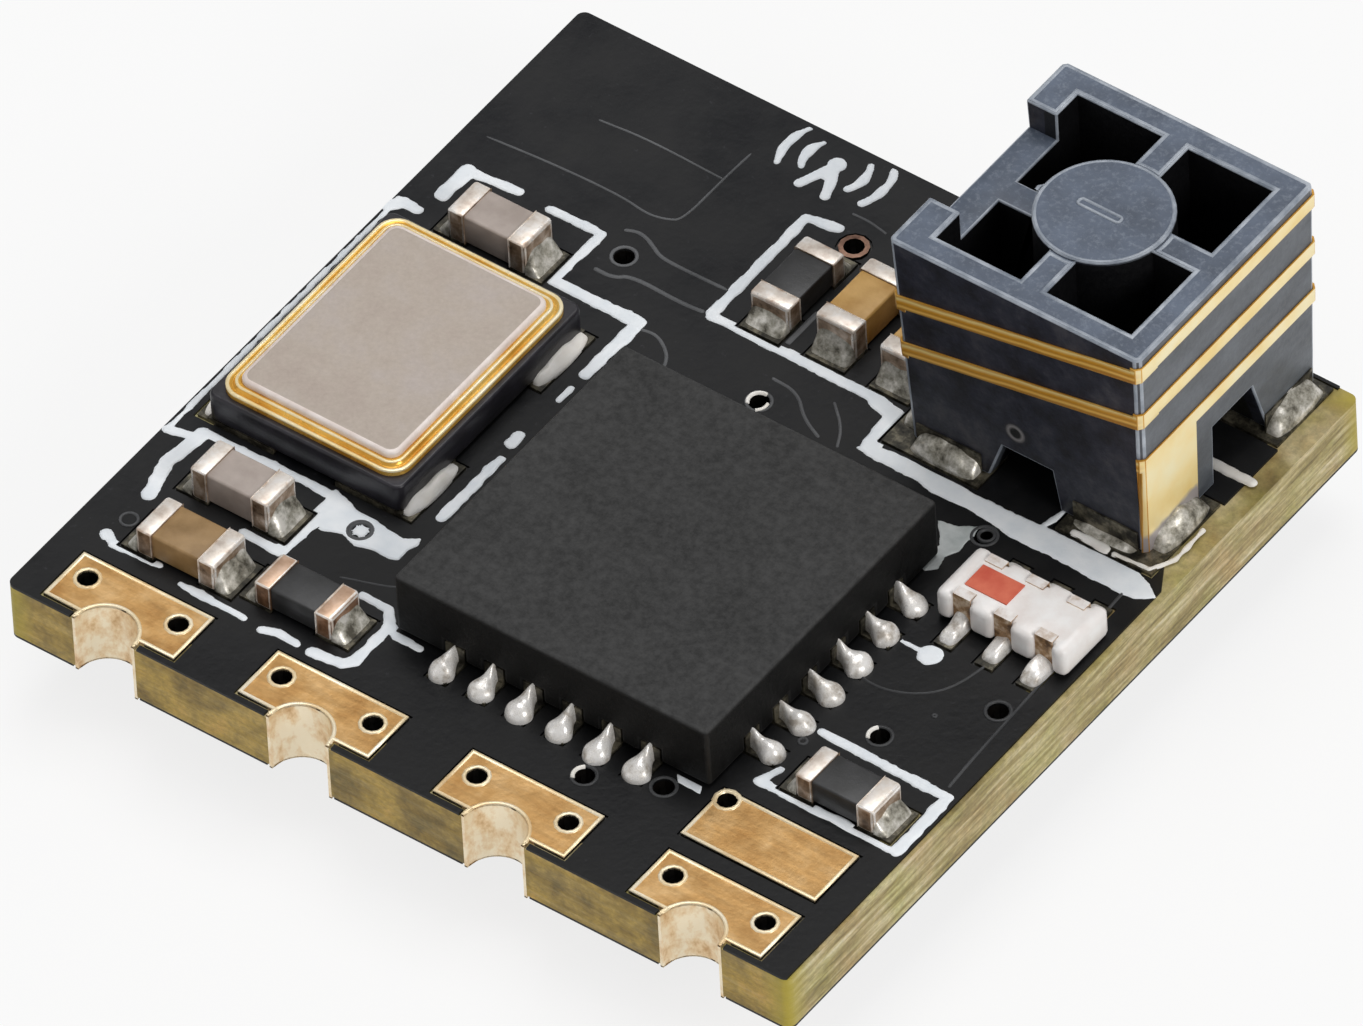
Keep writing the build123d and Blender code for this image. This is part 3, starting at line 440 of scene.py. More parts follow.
def track_look():
    """Bright plating on the tower: pale on the +X side as painted light, deep orange in front with painted highlight
    and shade bands along each turn, tinned grey at its foot.
    """
    look = Look("track_gold", (0.86, 0.60, 0.22), 0.36, 0.2)
    ripple = look.noise(1.8, 3.0, 0.5)
    # Painted light: the +X side is painted pale
    pale = look.ramp(ripple, (0.32, (0.96, 0.72, 0.28)), (0.5, (1.0, 0.82, 0.42)), (0.7, (1.0, 0.90, 0.58)))
    low, high = box_mm("antenna_body")
    front = look.maths("LESS_THAN", look.facing("Y"), -0.5)
    climb = look.maths("MULTIPLY", look.past("X", (low[0] + high[0]) / 2), TRACK_CLIMB)
    offset = look.maths("MULTIPLY", front, look.maths("SUBTRACT", -TRACK_PITCH / 2, climb))
    rise = look.maths("ADD", look.past("Z", TRACK_LOW), offset)
    across = look.maths("SUBTRACT", look.maths("MODULO", look.maths("ADD", rise, 1.5 * TRACK_PITCH), TRACK_PITCH),
                        TRACK_PITCH / 2)
    uneven = look.maths("MULTIPLY", look.maths("SUBTRACT", look.noise(2.5, 2.0), 0.5), 0.04)
    place = look.maths("ADD", look.maths("MULTIPLY", look.maths("ADD", across, uneven), 5.0), 0.5)
    # Painted highlight and shade: bright and dark bands across each turn
    deep = look.ramp(place, (0.10, (0.50, 0.22, 0.02)), (0.26, (1.0, 0.62, 0.14)), (0.42, (0.62, 0.27, 0.02)),
                     (0.58, (0.80, 0.38, 0.03)), (0.78, (1.0, 0.80, 0.34)), (0.94, (0.70, 0.34, 0.04)))
    # Painted light: pale where the surface faces +X, deep orange with its bands elsewhere
    gilt_with_painted_light = look.mix(look.ramp(look.facing("X"), (0.3, 0.0), (0.8, 1.0)), deep, pale)
    height = look.maths("ADD", look.axis("Z"), look.maths("MULTIPLY", look.noise(3.0), 0.25))
    tinned = look.ramp(look.maths("SUBTRACT", height, MASK_TOP), (0.36, 1.0), (0.44, 0.0))
    look.colour(look.mix(tinned, gilt_with_painted_light, (0.40, 0.36, 0.36)))
    look.rough(look.ramp(look.noise(5.0, 2.0), (0.3, 0.30), (0.7, 0.42)))
    look.bump(ripple, 0.002, 0.4)
    return look.material


def lens_look():
    """Clear cast lens of the status lamp."""
    look = Look("lamp_lens", (0.86, 0.88, 0.80), 0.12, Transmission_Weight=0.7, IOR=1.5)
    cloud = look.noise(6.0, 3.0)
    look.colour(look.ramp(cloud, (0.3, (0.82, 0.84, 0.74)), (0.7, (0.92, 0.93, 0.88))))
    return look.material


LOOKS = {
    "mask": mask_look("mask", (0.0036, 0.0040, 0.0054), (0.0135, 0.0135, 0.0140)),
    "trace": mask_look("masked_trace", (0.070, 0.072, 0.076), (0.125, 0.128, 0.134)),
    "laminate": laminate_look(),
    "pad": pad_look(),
    # Painted highlight: pale gold for the rims along pad edges
    "rim_highlight": gilt_look("pad_rim_highlight", (0.84, 0.60, 0.32), (0.95, 0.78, 0.50), (1.0, 0.91, 0.72), 0.30, 0.3),
    "ring_gold": gilt_look("ring_gold", (0.68, 0.31, 0.03), (0.84, 0.46, 0.07), (0.93, 0.62, 0.17), 0.26, 0.5),
    # Painted highlight: pale gold for the seal ring's two ridges
    "ring_edge_highlight": gilt_look("ring_edge_highlight", (0.94, 0.70, 0.30), (0.98, 0.82, 0.48), (1.0, 0.92, 0.68), 0.22, 0.3),
    "track_gold": track_look(),
    # Painted shade: the tracks' rounded edges are a darker orange
    "track_edge_shade": gilt_look("track_edge_shade", (0.46, 0.19, 0.02), (0.66, 0.32, 0.04), (0.84, 0.50, 0.12), 0.34, 0.5),
    "solder": metal_look("solder", (0.50, 0.45, 0.39), (0.90, 0.87, 0.83), (1.0, 0.98, 0.96), 6.0, 0.22, 0.42, 0.25),
    "dull_solder": metal_look("dull_solder", (0.10, 0.09, 0.068), (0.40, 0.38, 0.32), (0.84, 0.81, 0.75), 6.0, 0.3, 0.55, 0.35, 0.006),
    # Pads, lead frames, terminals and foot plates: flux-stained solder, painted dark as the shade around the parts
    "wetted_shaded": metal_look("wetted_pad_painted_shade", (0.012, 0.011, 0.008), (0.050, 0.045, 0.032), (0.20, 0.18, 0.13), 6.0, 0.3, 0.5),
    "mould": mould_look("mould", (0.018, 0.018, 0.018), (0.058, 0.058, 0.058), 0.10),
    # Painted highlight: a lighter copy of the mould, with less painted shade, for the chips' rounded edges
    "mould_edge_highlight": mould_look("mould_edge_highlight", (0.026, 0.026, 0.026), (0.058, 0.058, 0.058), 0.35),
    "black_ceramic": ceramic_look("black_ceramic", (0.010, 0.009, 0.012), (0.026, 0.024, 0.032), 0.35),
    "lid": lid_look(),
    # Painted highlight: pale finish for the lids' rounded edges and the oscillator lid's border
    "lid_edge_highlight": ceramic_look("lid_edge_highlight", (0.74, 0.62, 0.56), (0.90, 0.82, 0.78), 0.3),
    "antenna": antenna_look("antenna_plastic", (0.052, 0.060, 0.074), (0.092, 0.106, 0.130)),
    # Painted highlight: pale finish for the antenna's rounded edges, its rim lines and its gate mark
    "antenna_edge_highlight": ceramic_look("antenna_edge_highlight", (0.17, 0.20, 0.25), (0.46, 0.50, 0.56), 0.35),
    "filter": ceramic_look("filter_ceramic", (0.82, 0.76, 0.73), (0.93, 0.92, 0.91), 0.32),
    "red": ceramic_look("red_mark", (0.58, 0.075, 0.035), (0.72, 0.17, 0.09), 0.5),
    "beige": ceramic_look("beige_ceramic", (0.36, 0.30, 0.265), (0.48, 0.41, 0.37)),
    "brown": ceramic_look("brown_ceramic", (0.25, 0.145, 0.05), (0.40, 0.25, 0.11)),
    "ochre": ceramic_look("ochre_ceramic", (0.50, 0.27, 0.06), (0.70, 0.43, 0.15)),
    "glaze": ceramic_look("dark_glaze", (0.018, 0.018, 0.018), (0.040, 0.040, 0.042), 0.4),
    "cap": cap_look(),
    "terminal": terminal_look(),
    # Painted highlight: pale finish on the end caps' rounded edges
    "cap_edge_highlight": metal_look("cap_edge_highlight", (0.60, 0.46, 0.36), (0.86, 0.78, 0.70), (0.96, 0.93, 0.90), 6.0, 0.25, 0.4, 0.3),
    "ink": ceramic_look("ink", (0.80, 0.85, 0.90), (0.94, 0.97, 1.0), 0.6),
    # Pale cream: the via glints and the oscillator's solder slivers use it as painted highlight
    "cream": ceramic_look("pale_cream", (0.84, 0.80, 0.73), (1.0, 0.98, 0.95), 0.4),
    "splash": ceramic_look("splash", (0.34, 0.38, 0.38), (0.62, 0.65, 0.65), 0.35),
    "white_base": ceramic_look("white_base", (0.70, 0.70, 0.68), (0.82, 0.82, 0.80)),
    "lens": lens_look(),
}

# Which finish each solid takes; the ones that a finer piece stands for come later
NODE_LOOKS = {
    "board_laminate": "laminate",
    "upper_solder_mask": "mask",
    "lower_solder_mask": "mask",
    "upper_copper_pads": "wetted_shaded",
    "lower_copper_pads": "wetted_shaded",
    "radio_chip_lead_frame": "wetted_shaded",
    "controller_chip_lead_frame": "wetted_shaded",
    "regulator_lead_frame": "solder",
    "oscillator_terminals": "wetted_shaded",
    "crystal_terminals": "wetted_shaded",
    "filter_terminals": "terminal",
    "filter_mark": "red",
    "antenna_foot_plates": "wetted_shaded",
    "status_lamp_ends": "cap",
    "status_lamp_base": "white_base",
}

# Solids that keep their shape and get rounded edges: finish, slot, edge width, finish of the edges
ROUNDED = {
    "radio_chip_body": ("mould", "chip_mould", 0.045, "mould_edge_highlight"),
    "controller_chip_body": ("mould", "chip_mould", 0.045, "mould_edge_highlight"),
    "regulator_body": ("mould", "chip_mould", 0.05, "mould_edge_highlight"),
    "oscillator_base": ("black_ceramic", "ceramic_black", 0.035, "black_ceramic"),
    "crystal_base": ("black_ceramic", "ceramic_black", 0.03, "black_ceramic"),
    "crystal_lid": ("lid", "lid_metal", 0.02, "lid_edge_highlight"),
    "filter_body": ("filter", "filter_ceramic", 0.075, "filter"),
    "antenna_body": ("antenna", "antenna_plastic", 0.022, "antenna_edge_highlight"),
    "antenna_track": ("track_gold", "bright_gold", 0.007, "track_edge_shade"),
    "bulk_capacitor": ("brown", "capacitor_brown", 0.03, "brown"),
    "matching_capacitor": ("ochre", "capacitor_orange", 0.03, "ochre"),
    "antenna_capacitor": ("ochre", "capacitor_orange", 0.03, "ochre"),
    "capacitor_behind_oscillator": ("beige", "capacitor_beige", 0.03, "beige"),
    "capacitor_front_of_oscillator": ("beige", "capacitor_beige", 0.03, "beige"),
    "controller_capacitor_left": ("beige", "capacitor_beige", 0.03, "beige"),
    "controller_capacitor_right": ("beige", "capacitor_beige", 0.03, "beige"),
    "regulator_capacitor_in": ("brown", "capacitor_brown", 0.03, "brown"),
    "regulator_capacitor_out": ("brown", "capacitor_brown", 0.03, "brown"),
    "resistor_front_left": ("glaze", "resistor_black", 0.02, "glaze"),
    "resistor_by_antenna": ("glaze", "resistor_black", 0.02, "glaze"),
    "resistor_by_test_pad": ("glaze", "resistor_black", 0.02, "glaze"),
    "pull_up_resistor": ("glaze", "resistor_black", 0.02, "glaze"),
    "lamp_resistor": ("glaze", "resistor_black", 0.02, "glaze"),
    "upper_capacitor_end_caps": ("cap", "tinned", 0.019, "cap_edge_highlight"),
    "upper_resistor_end_caps": ("cap", "tinned", 0.019, "cap_edge_highlight"),
    "lower_capacitor_end_caps": ("cap", "tinned", 0.019, "cap_edge_highlight"),
    "lower_resistor_end_caps": ("cap", "tinned", 0.019, "cap_edge_highlight"),
    "status_lamp_lens": ("lens", "lamp_clear", 0.04, "lens"),
}


# Meshes

def settle(mesh, name, slot, look, *nodes):
    """Makes a piece of a mesh: it rides on the board and may stand for CAD nodes; its slot is not used."""
    piece = bpy.data.objects.new(name, mesh)
    bpy.context.scene.collection.objects.link(piece)
    mesh.materials.append(LOOKS[look])
    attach(piece, "root")
    if nodes:
        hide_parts(*nodes)
    return piece


class Shape:
    """Points and faces of one piece, in millimetres."""

    def __init__(self):
        self.points = []
        self.faces = []
        self.count = 0

    def add(self, points, faces):
        """Adds points, and faces that name them."""
        self.faces.append(np.asarray(faces) + self.count)
        self.points.append(np.asarray(points, float))
        self.count += len(points)

    def net(self, x, y, z, up=1, closed=False):
        """Quads through rows of points; closed joins the last row to the first."""
        x, y, z = np.broadcast_arrays(x, y, z)
        rows, columns = x.shape
        index = np.arange(rows * columns).reshape(rows, columns)
        if closed:
            index = np.vstack([index, index[:1]])
        corners = [index[:-1, :-1], index[1:, :-1], index[1:, 1:], index[:-1, 1:]]
        faces = np.stack([c.ravel() for c in corners], axis=1)
        self.add(np.stack([x.ravel(), y.ravel(), z.ravel()], axis=1), faces[:, ::up])

    def piece(self, name, slot, look, *nodes):
        """Turns what was added into a smooth-shaded piece."""
        mesh = bpy.data.meshes.new(name)
        points = np.concatenate(self.points) * MM
        faces = [[int(i) for i in face] for block in self.faces for face in block]
        mesh.from_pydata(points.tolist(), [], faces)
        mesh.shade_smooth()
        return settle(mesh, name, slot, look, *nodes)


def fair(value):
    """Smooth step from 0 to 1."""
    value = np.clip(value, 0, 1)
    return value * value * (3 - 2 * value)


def ripple(x, y, per_mm, seed):
    """Smooth waves of about -1 to 1, different for each seed."""
    draw = random.Random(seed)
    total = 0.0
    for _ in range(6):
        angle = draw.uniform(0, math.tau)
        rate = per_mm * math.tau * draw.uniform(0.6, 1.4)
        total = total + np.sin((x * math.cos(angle) + y * math.sin(angle)) * rate + draw.uniform(0, math.tau))
    return total / 3


def clean_copy(node):
    """A node's own mesh in millimetres, with its split corners joined and its flat faces whole."""
    bm = bmesh.new()
    bm.from_mesh(frame["nodes"][node].data)
    bmesh.ops.scale(bm, vec=(1 / MM, 1 / MM, 1 / MM), verts=bm.verts)
    bmesh.ops.remove_doubles(bm, verts=bm.verts, dist=0.0005)
    bmesh.ops.dissolve_limit(bm, angle_limit=math.radians(1), verts=bm.verts, edges=bm.edges)
    return bm


def rounded(node, look, slot, width, edge_look):
    """Stands for a solid: its own shape with rounded outer edges, which have their own finish."""
    bm = clean_copy(node)
    if node == "antenna_body":
        top = box_mm(node)[1][2]
        for vert in bm.verts:
            if vert.co.z > top - 0.001:
                vert.co.z -= GATE_MARK_RISE
    if node == "antenna_track":
        bmesh.ops.remove_doubles(bm, verts=bm.verts, dist=0.012)
    sharp = [edge for edge in bm.edges if len(edge.link_faces) == 2 and edge.is_convex
             and edge.calc_face_angle(0) > math.radians(35)]
    made = bmesh.ops.bevel(bm, geom=sharp, offset=width, offset_type="OFFSET", segments=3, profile=0.5,
                           affect="EDGES", clamp_overlap=False)
    for face in bm.faces:
        face.smooth = True
    for face in made["faces"]:
        face.material_index = 1
    for edge in bm.edges:
        edge.smooth = len(edge.link_faces) == 2 and edge.calc_face_angle(0) < math.radians(38)
    bmesh.ops.scale(bm, vec=(MM, MM, MM), verts=bm.verts)
    mesh = bpy.data.meshes.new(node + "_rounded")
    bm.to_mesh(mesh)
    bm.free()
    piece = settle(mesh, node + "_rounded", slot, look, node)
    mesh.materials.append(LOOKS[edge_look])
    even = piece.modifiers.new("even_shading", "WEIGHTED_NORMAL")
    even.keep_sharp = True


def islands(node):
    """The loose parts of a node, each as an array of points in millimetres."""
    bm = clean_copy(node)
    left = set(bm.verts)
    found = []
    while left:
        group, front = [], [left.pop()]
        while front:
            vert = front.pop()
            group.append(vert.co[:])
            for edge in vert.link_edges:
                other = edge.other_vert(vert)
                if other in left:
                    left.remove(other)
                    front.append(other)
        found.append(np.array(group))
    bm.free()
    return sorted(found, key=lambda points: tuple(points.mean(0)))


def outlines(node, level, up=1):
    """Outlines of a node's flat faces at one height, with the face on the left of each."""
    bm = clean_copy(node)
    flat = {face for face in bm.faces
            if face.normal.z * up > 0.9 and abs(face.calc_center_median().z - level) < 0.004}
    step = {}
    for face in flat:
        for loop in face.loops:
            if sum(other in flat for other in loop.edge.link_faces) == 1:
                step[loop.vert] = loop.link_loop_next.vert
    found = []
    while step:
        start, vert = step.popitem()
        outline = [start.co[:2]]
        while vert in step:
            outline.append(vert.co[:2])
            vert = step.pop(vert)
        found.append(np.array(outline))
    bm.free()
    return found


# Solder

def wedges(node):
    """Each loose wedge of a solder node: middle of its foot at the wall, direction out, reach, half width, height, side."""
    found = []
    for points in islands(node):
        low, high = points.min(0), points.max(0)
        height = high[2] - low[2]
        up = 1 if low[2] > BOARD_MIDDLE else -1
        away = points[:, 2] - low[2] if up == 1 else high[2] - points[:, 2]
        lean = ((low + high) / 2 - points[away > 0.8 * height].mean(0))[:2]
        axis = int(abs(lean[1]) > abs(lean[0]))
        out = np.zeros(2)
        out[axis] = np.sign(lean[axis])
        reach = high[axis] - low[axis]
        wall = ((low + high) / 2)[:2] - out * reach / 2
        found.append((wall, out, reach, (high - low)[1 - axis] / 2, height, up))
    return found


# The antenna's front right foot has hardly any solder
THIN_FOOT = np.array([4.0, 1.88])


def teardrop(s, t, draw):
    """Run at a lead: narrow at the chip's wall, then a round lump that ends in a round toe."""
    toe = np.sqrt(np.clip(1 - (np.clip(s - 0.55, 0, 1) / 0.45) ** 2, 0, 1))
    width = (0.36 + draw.uniform(0.90, 1.15) * fair(s / 0.7)) * toe
    ridge = 0.95 - 0.42 * fair(s / draw.uniform(0.35, 0.55)) + 0.12 * np.sin(math.pi * s)
    return s * draw.uniform(1.10, 1.28), width, ridge * toe * np.sqrt(1 - t * t)


def hollow_run(s, t, draw):
    """Run at an end cap: steep and hollow, short at its foot."""
    width = 1.0 - 0.18 * s ** 3
    rise = (draw.uniform(0.62, 0.80) * (1 - s) ** 1.6 + 0.20 * (1 - s ** 4)) * (1 - np.abs(t) ** 5) ** 0.5
    return s * 0.85, width, rise


def short_foot(s, t, draw):
    """Run at the filter's terminals: a short blunt foot."""
    toe = np.sqrt(np.clip(1 - np.abs(s) ** 6, 0, 1))
    return s * draw.uniform(0.75, 0.95), draw.uniform(0.95, 1.15) * toe ** 0.5, (0.75 - 0.30 * s) * toe * (1 - t ** 4) ** 0.5


def spindle(s, t, draw):
    """Run along a package's foot: long, thin and pointed at both ends."""
    taper = np.sqrt(1 - t * t)
    return s * (0.45 + 0.75 * taper), 1.15, 0.75 * np.sqrt(np.clip(1 - s * s, 0, 1)) * taper ** 0.7


def foot_run(s, t, draw):
    """Run at the antenna's feet: full, rounded and pitted."""
    edge = (1 - np.abs(t) ** 2.6) ** 0.5
    return s * (0.62 + 0.38 * edge), 1.0, (0.88 * np.sqrt(np.clip(1 - s ** 2, 0, 1)) + 0.10 * (1 - s)) * edge


def run_solder(node, slot, look, form, roughness=0.10):
    """Stands for a solder node with smooth runs in the same places."""
    shape = Shape()
    s = np.sin(np.linspace(0, math.pi / 2, 20))[:, None]
    t = np.sin(np.linspace(-math.pi / 2, math.pi / 2, 31))[None, :]
    for number, (wall, out, reach, half, height, up) in enumerate(wedges(node)):
        if np.hypot(*(wall - THIN_FOOT)) < 0.3:
            reach, height = reach * 0.6, height * 0.2
        draw = random.Random(node + str(number))
        along, width, rise = form(s, t, draw)
        u = along * reach - 0.01
        v = width * half * t
        x = wall[0] + out[0] * u - out[1] * v
        y = wall[1] + out[1] * u + out[0] * v
        uneven = 1 + roughness * ripple(x, y, 3.0, number)
        foot = MASK_TOP if up == 1 else MASK_BOTTOM
        shape.net(x, y, foot + up * (rise * height * uneven - 0.004), up)
    return shape.piece(node + "_run", slot, look, node)


# Flat work on the board: outlines are fields that are positive inside, in millimetres

class Plan:
    """A fine grid over part of the board, with a field of what is drawn on it."""

    def __init__(self, x_low, x_high, y_low, y_high, step=0.02):
        self.step = step
        self.x, self.y = np.meshgrid(np.arange(x_low, x_high + step, step), np.arange(y_low, y_high + step, step),
                                     indexing="ij")
        self.field = np.full(self.x.shape, -1.0)

    def line(self, points, *widths):
        """Draws a line whose width runs evenly from the first to the last of the given widths."""
        points = np.array(points, float)
        lengths = np.hypot(*np.diff(points, axis=0).T)
        places = np.concatenate([[0], np.cumsum(lengths)]) / lengths.sum()
        radii = np.interp(places, np.linspace(0, 1, len(widths)), widths) / 2
        for a, b, ra, rb in zip(points, points[1:], radii, radii[1:]):
            along = b - a
            t = np.clip(((self.x - a[0]) * along[0] + (self.y - a[1]) * along[1]) / (along @ along), 0, 1)
            distance = np.hypot(self.x - a[0] - along[0] * t, self.y - a[1] - along[1] * t)
            self.field = np.maximum(self.field, ra + (rb - ra) * t - distance)

    def area(self, points):
        """Draws a filled outline."""
        points = np.array(points, float)
        nearest = np.full(self.x.shape, 9.0)
        inside = np.zeros(self.x.shape, bool)
        for a, b in zip(points, np.roll(points, -1, axis=0)):
            along = b - a
            t = np.clip(((self.x - a[0]) * along[0] + (self.y - a[1]) * along[1]) / (along @ along), 0, 1)
            nearest = np.minimum(nearest, np.hypot(self.x - a[0] - along[0] * t, self.y - a[1] - along[1] * t))
            if a[1] != b[1]:
                crossing = a[0] + (self.y - a[1]) / (b[1] - a[1]) * along[0]
                inside ^= ((a[1] > self.y) != (b[1] > self.y)) & (self.x < crossing)
        self.field = np.maximum(self.field, np.where(inside, nearest, -nearest))

    def spare(self, low, high, gap):
        """Keeps the drawing off a box."""
        outside = np.maximum.reduce([low[0] - gap - self.x, self.x - high[0] - gap,
                                     low[1] - gap - self.y, self.y - high[1] - gap])
        self.field = np.minimum(self.field, outside)

    def spare_disc(self, x, y, radius):
        """Keeps the drawing off a disc."""
        self.field = np.minimum(self.field, np.hypot(self.x - x, self.y - y) - radius)

    def ragged(self, amount, per_mm, seed):
        """Makes the outline uneven."""
        self.field = self.field + amount * ripple(self.x, self.y, per_mm, seed)

    def sheet(self, shape, base, thickness, edge):
        """Adds the drawing as a thin sheet with rounded borders."""
        slope_x, slope_y = np.gradient(self.field, self.step)
        out = self.field <= 0
        shift = np.where(out, -self.field / np.maximum(slope_x ** 2 + slope_y ** 2, 0.3), 0)
        shift = np.clip(shift, 0, 1.5 * self.step)
        x, y = self.x + slope_x * shift, self.y + slope_y * shift
        rise = np.sqrt(1 - (1 - np.clip(self.field / edge, 0, 1)) ** 2)
        z = np.where(out, base - 0.004, base + thickness * rise)
        used = ~out[:-1, :-1] | ~out[1:, :-1] | ~out[1:, 1:] | ~out[:-1, 1:]
        index = np.arange(self.x.size).reshape(self.x.shape)
        faces = np.stack([index[:-1, :-1][used], index[1:, :-1][used], index[1:, 1:][used], index[:-1, 1:][used]], axis=1)
        kept, faces = np.unique(faces, return_inverse=True)
        points = np.stack([x.ravel(), y.ravel(), z.ravel()], axis=1)[kept]
        shape.add(points, faces.reshape(-1, 4))


def bead(shape, outline, width, height, level, up=1, inset=0.0):
    """A thin rounded rim along the inside of a closed outline."""
    before = outline - np.roll(outline, 1, axis=0)
    after = np.roll(outline, -1, axis=0) - outline
    before /= np.linalg.norm(before, axis=1)[:, None]
    after /= np.linalg.norm(after, axis=1)[:, None]
    mitre = before + after
    mitre /= np.maximum(1 + (before * after).sum(1), 0.4)[:, None]
    left = up * np.stack([-mitre[:, 1], mitre[:, 0]], axis=1)
    across = inset + width * np.array([0.0, 0.0, 0.2, 0.5, 0.8, 1.0])[None, :]
    rise = height * np.array([-2.0, 0.5, 0.9, 1.0, 0.8, -0.5])[None, :]
    x = outline[:, :1] + left[:, :1] * across
    y = outline[:, 1:] + left[:, 1:] * across
    shape.net(x, y, level + up * rise, 1, closed=True)


def circle(x, y, radius, count=28):
    """A circle's points, with its inside on the left."""
    angle = np.linspace(0, math.tau, count, endpoint=False)
    return np.stack([x + radius * np.cos(angle), y + radius * np.sin(angle)], axis=1)


def smoothed(points, rounds=3):
    """A line with its corners cut smaller and smaller."""
    points = np.array(points, float)
    for _ in range(rounds):
        near = points[:-1] * 0.75 + points[1:] * 0.25
        far = points[:-1] * 0.25 + points[1:] * 0.75
        points = np.concatenate([points[:1], np.stack([near, far], axis=1).reshape(-1, 2), points[-1:]])
    return points


def ribbon(shape, points, width, height, base):
    """A low rounded ridge along a line, pointed at both ends."""
    path = smoothed(points)
    run = np.gradient(path, axis=0)
    run /= np.linalg.norm(run, axis=1)[:, None]
    place = np.linspace(0, 1, len(path))
    taper = np.sqrt(np.clip(np.minimum(place, 1 - place) * 14, 0, 1))[:, None]
    t = np.linspace(-1, 1, 5)[None, :]
    x = path[:, :1] - run[:, 1:] * t * taper * width / 2
    y = path[:, 1:] + run[:, :1] * t * taper * width / 2
    shape.net(x, y, base + height * (1 - t * t) * taper - 0.001)


# Printed ink: line widths at start and end, then points
INK_LINES = [
    (0.04, 0.04, [(-4.945, 1.72), (-4.945, -2.24)]),
    (0.13, 0.10, [(-4.97, 1.57), (-4.87, 1.71), (-4.68, 1.69)]),
    (0.15, 0.17, [(-4.60, 2.01), (-4.59, 2.43)]),
    (0.10, 0.09, [(-4.59, 2.44), (-3.96, 2.49)]),
    (0.08, 0.10, [(-3.55, 2.47), (-2.88, 2.48), (-2.91, 1.70)]),
    (0.07, 0.10, [(-3.81, 1.66), (-2.90, 1.66)]),
    (0.12, 0.15, [(-2.90, 1.66), (-1.80, 1.66)]),
    (0.15, 0.11, [(-1.80, 1.66), (-1.82, 0.75)]),
    (0.05, 0.05, [(-1.82, 0.51), (-1.83, 0.30)]),
    (0.11, 0.11, [(-1.87, -0.34), (-1.87, -0.48)]),
    (0.09, 0.12, [(-1.83, -0.72), (-1.83, -1.72)]),
    (0.09, 0.09, [(-4.94, -2.30), (-4.66, -2.24), (-4.56, -2.12), (-2.98, -2.11)]),
    (0.16, 0.14, [(-4.60, -2.15), (-4.66, -2.68), (-4.54, -3.16)]),
    (0.14, 0.14, [(-4.56, -3.86), (-4.55, -3.87)]),
    (0.10, 0.06, [(-4.56, -3.86), (-4.42, -3.93), (-3.83, -3.91)]),
    (0.05, 0.09, [(-3.49, -4.00), (-3.20, -4.01)]),
    (0.09, 0.05, [(-3.20, -4.01), (-2.67, -4.02)]),
    (0.09, 0.09, [(-2.41, -4.05), (-2.24, -3.99), (-2.00, -4.01)]),
    (0.11, 0.11, [(-1.80, -4.01), (-1.43, -3.98), (-1.35, -3.88), (-1.35, -3.26)]),
    (0.07, 0.11, [(-1.84, -3.08), (-1.64, -3.08), (-1.50, -3.09), (-1.35, -3.26)]),
    (0.11, 0.09, [(-1.35, -3.26), (-1.20, -3.34), (-0.91, -3.36)]),
    (0.17, 0.15, [(-2.89, -2.22), (-2.93, -3.03)]),
    (0.09, 0.10, [(-3.40, -3.05), (-2.97, -3.06)]),
    (0.10, 0.11, [(-0.89, 3.92), (-1.26, 3.86), (-1.25, 2.21)]),
    (0.10, 0.11, [(-1.23, 2.17), (-0.17, 2.17), (0.92, 2.16)]),
    (0.17, 0.20, [(0.92, 2.14), (1.18, 2.08), (1.23, 1.60)]),
    (0.05, 0.05, [(3.39, 1.69), (3.47, 1.97)]),
    (0.09, 0.11, [(3.23, -1.98), (4.84, -2.01)]),
    (0.12, 0.12, [(4.84, -2.01), (4.85, -2.91)]),
    (0.11, 0.09, [(4.85, -2.91), (3.10, -2.90)]),
    (0.08, 0.06, [(3.10, -2.90), (3.19, -2.65)]),
    (0.03, 0.03, [(2.68, -3.13), (2.68, -2.93), (2.69, -2.82)]),
    (0.03, 0.03, [(3.05, -0.48), (3.50, -0.49)]),
    (0.25, 0.25, [(3.50, -0.49), (3.505, -0.49)]),
]
INK_AREAS = [
    [(-2.97, -2.26), (-2.97, -2.03), (-2.78, -2.09), (-2.62, -2.15), (-2.42, -2.15), (-2.20, -2.19), (-1.97, -2.21),
     (-1.83, -2.10), (-1.80, -2.18), (-1.84, -2.31), (-1.85, -2.45), (-1.96, -2.49), (-2.17, -2.50), (-2.35, -2.54),
     (-2.55, -2.47), (-2.77, -2.57)],
    [(1.13, 1.49), (1.33, 1.60), (1.49, 1.64), (2.66, 1.62), (3.10, 1.63), (3.55, 1.66), (4.23, 1.66), (4.57, 1.68),
     (4.77, 1.61), (4.93, 1.48), (4.77, 1.35), (4.33, 1.33), (3.67, 1.36), (3.18, 1.34), (3.02, 1.38), (2.58, 1.43),
     (2.14, 1.40), (1.94, 1.46), (1.44, 1.45)],
    [(2.36, -3.30), (2.44, -3.23), (2.64, -3.28), (2.70, -3.39), (2.43, -3.37)],
]

# A plain antenna sign: mast with two legs, a knob and two pairs of waves, about this middle
SIGN_X, SIGN_Y = -1.45, 4.52
SIGN_WIDTH = 0.13

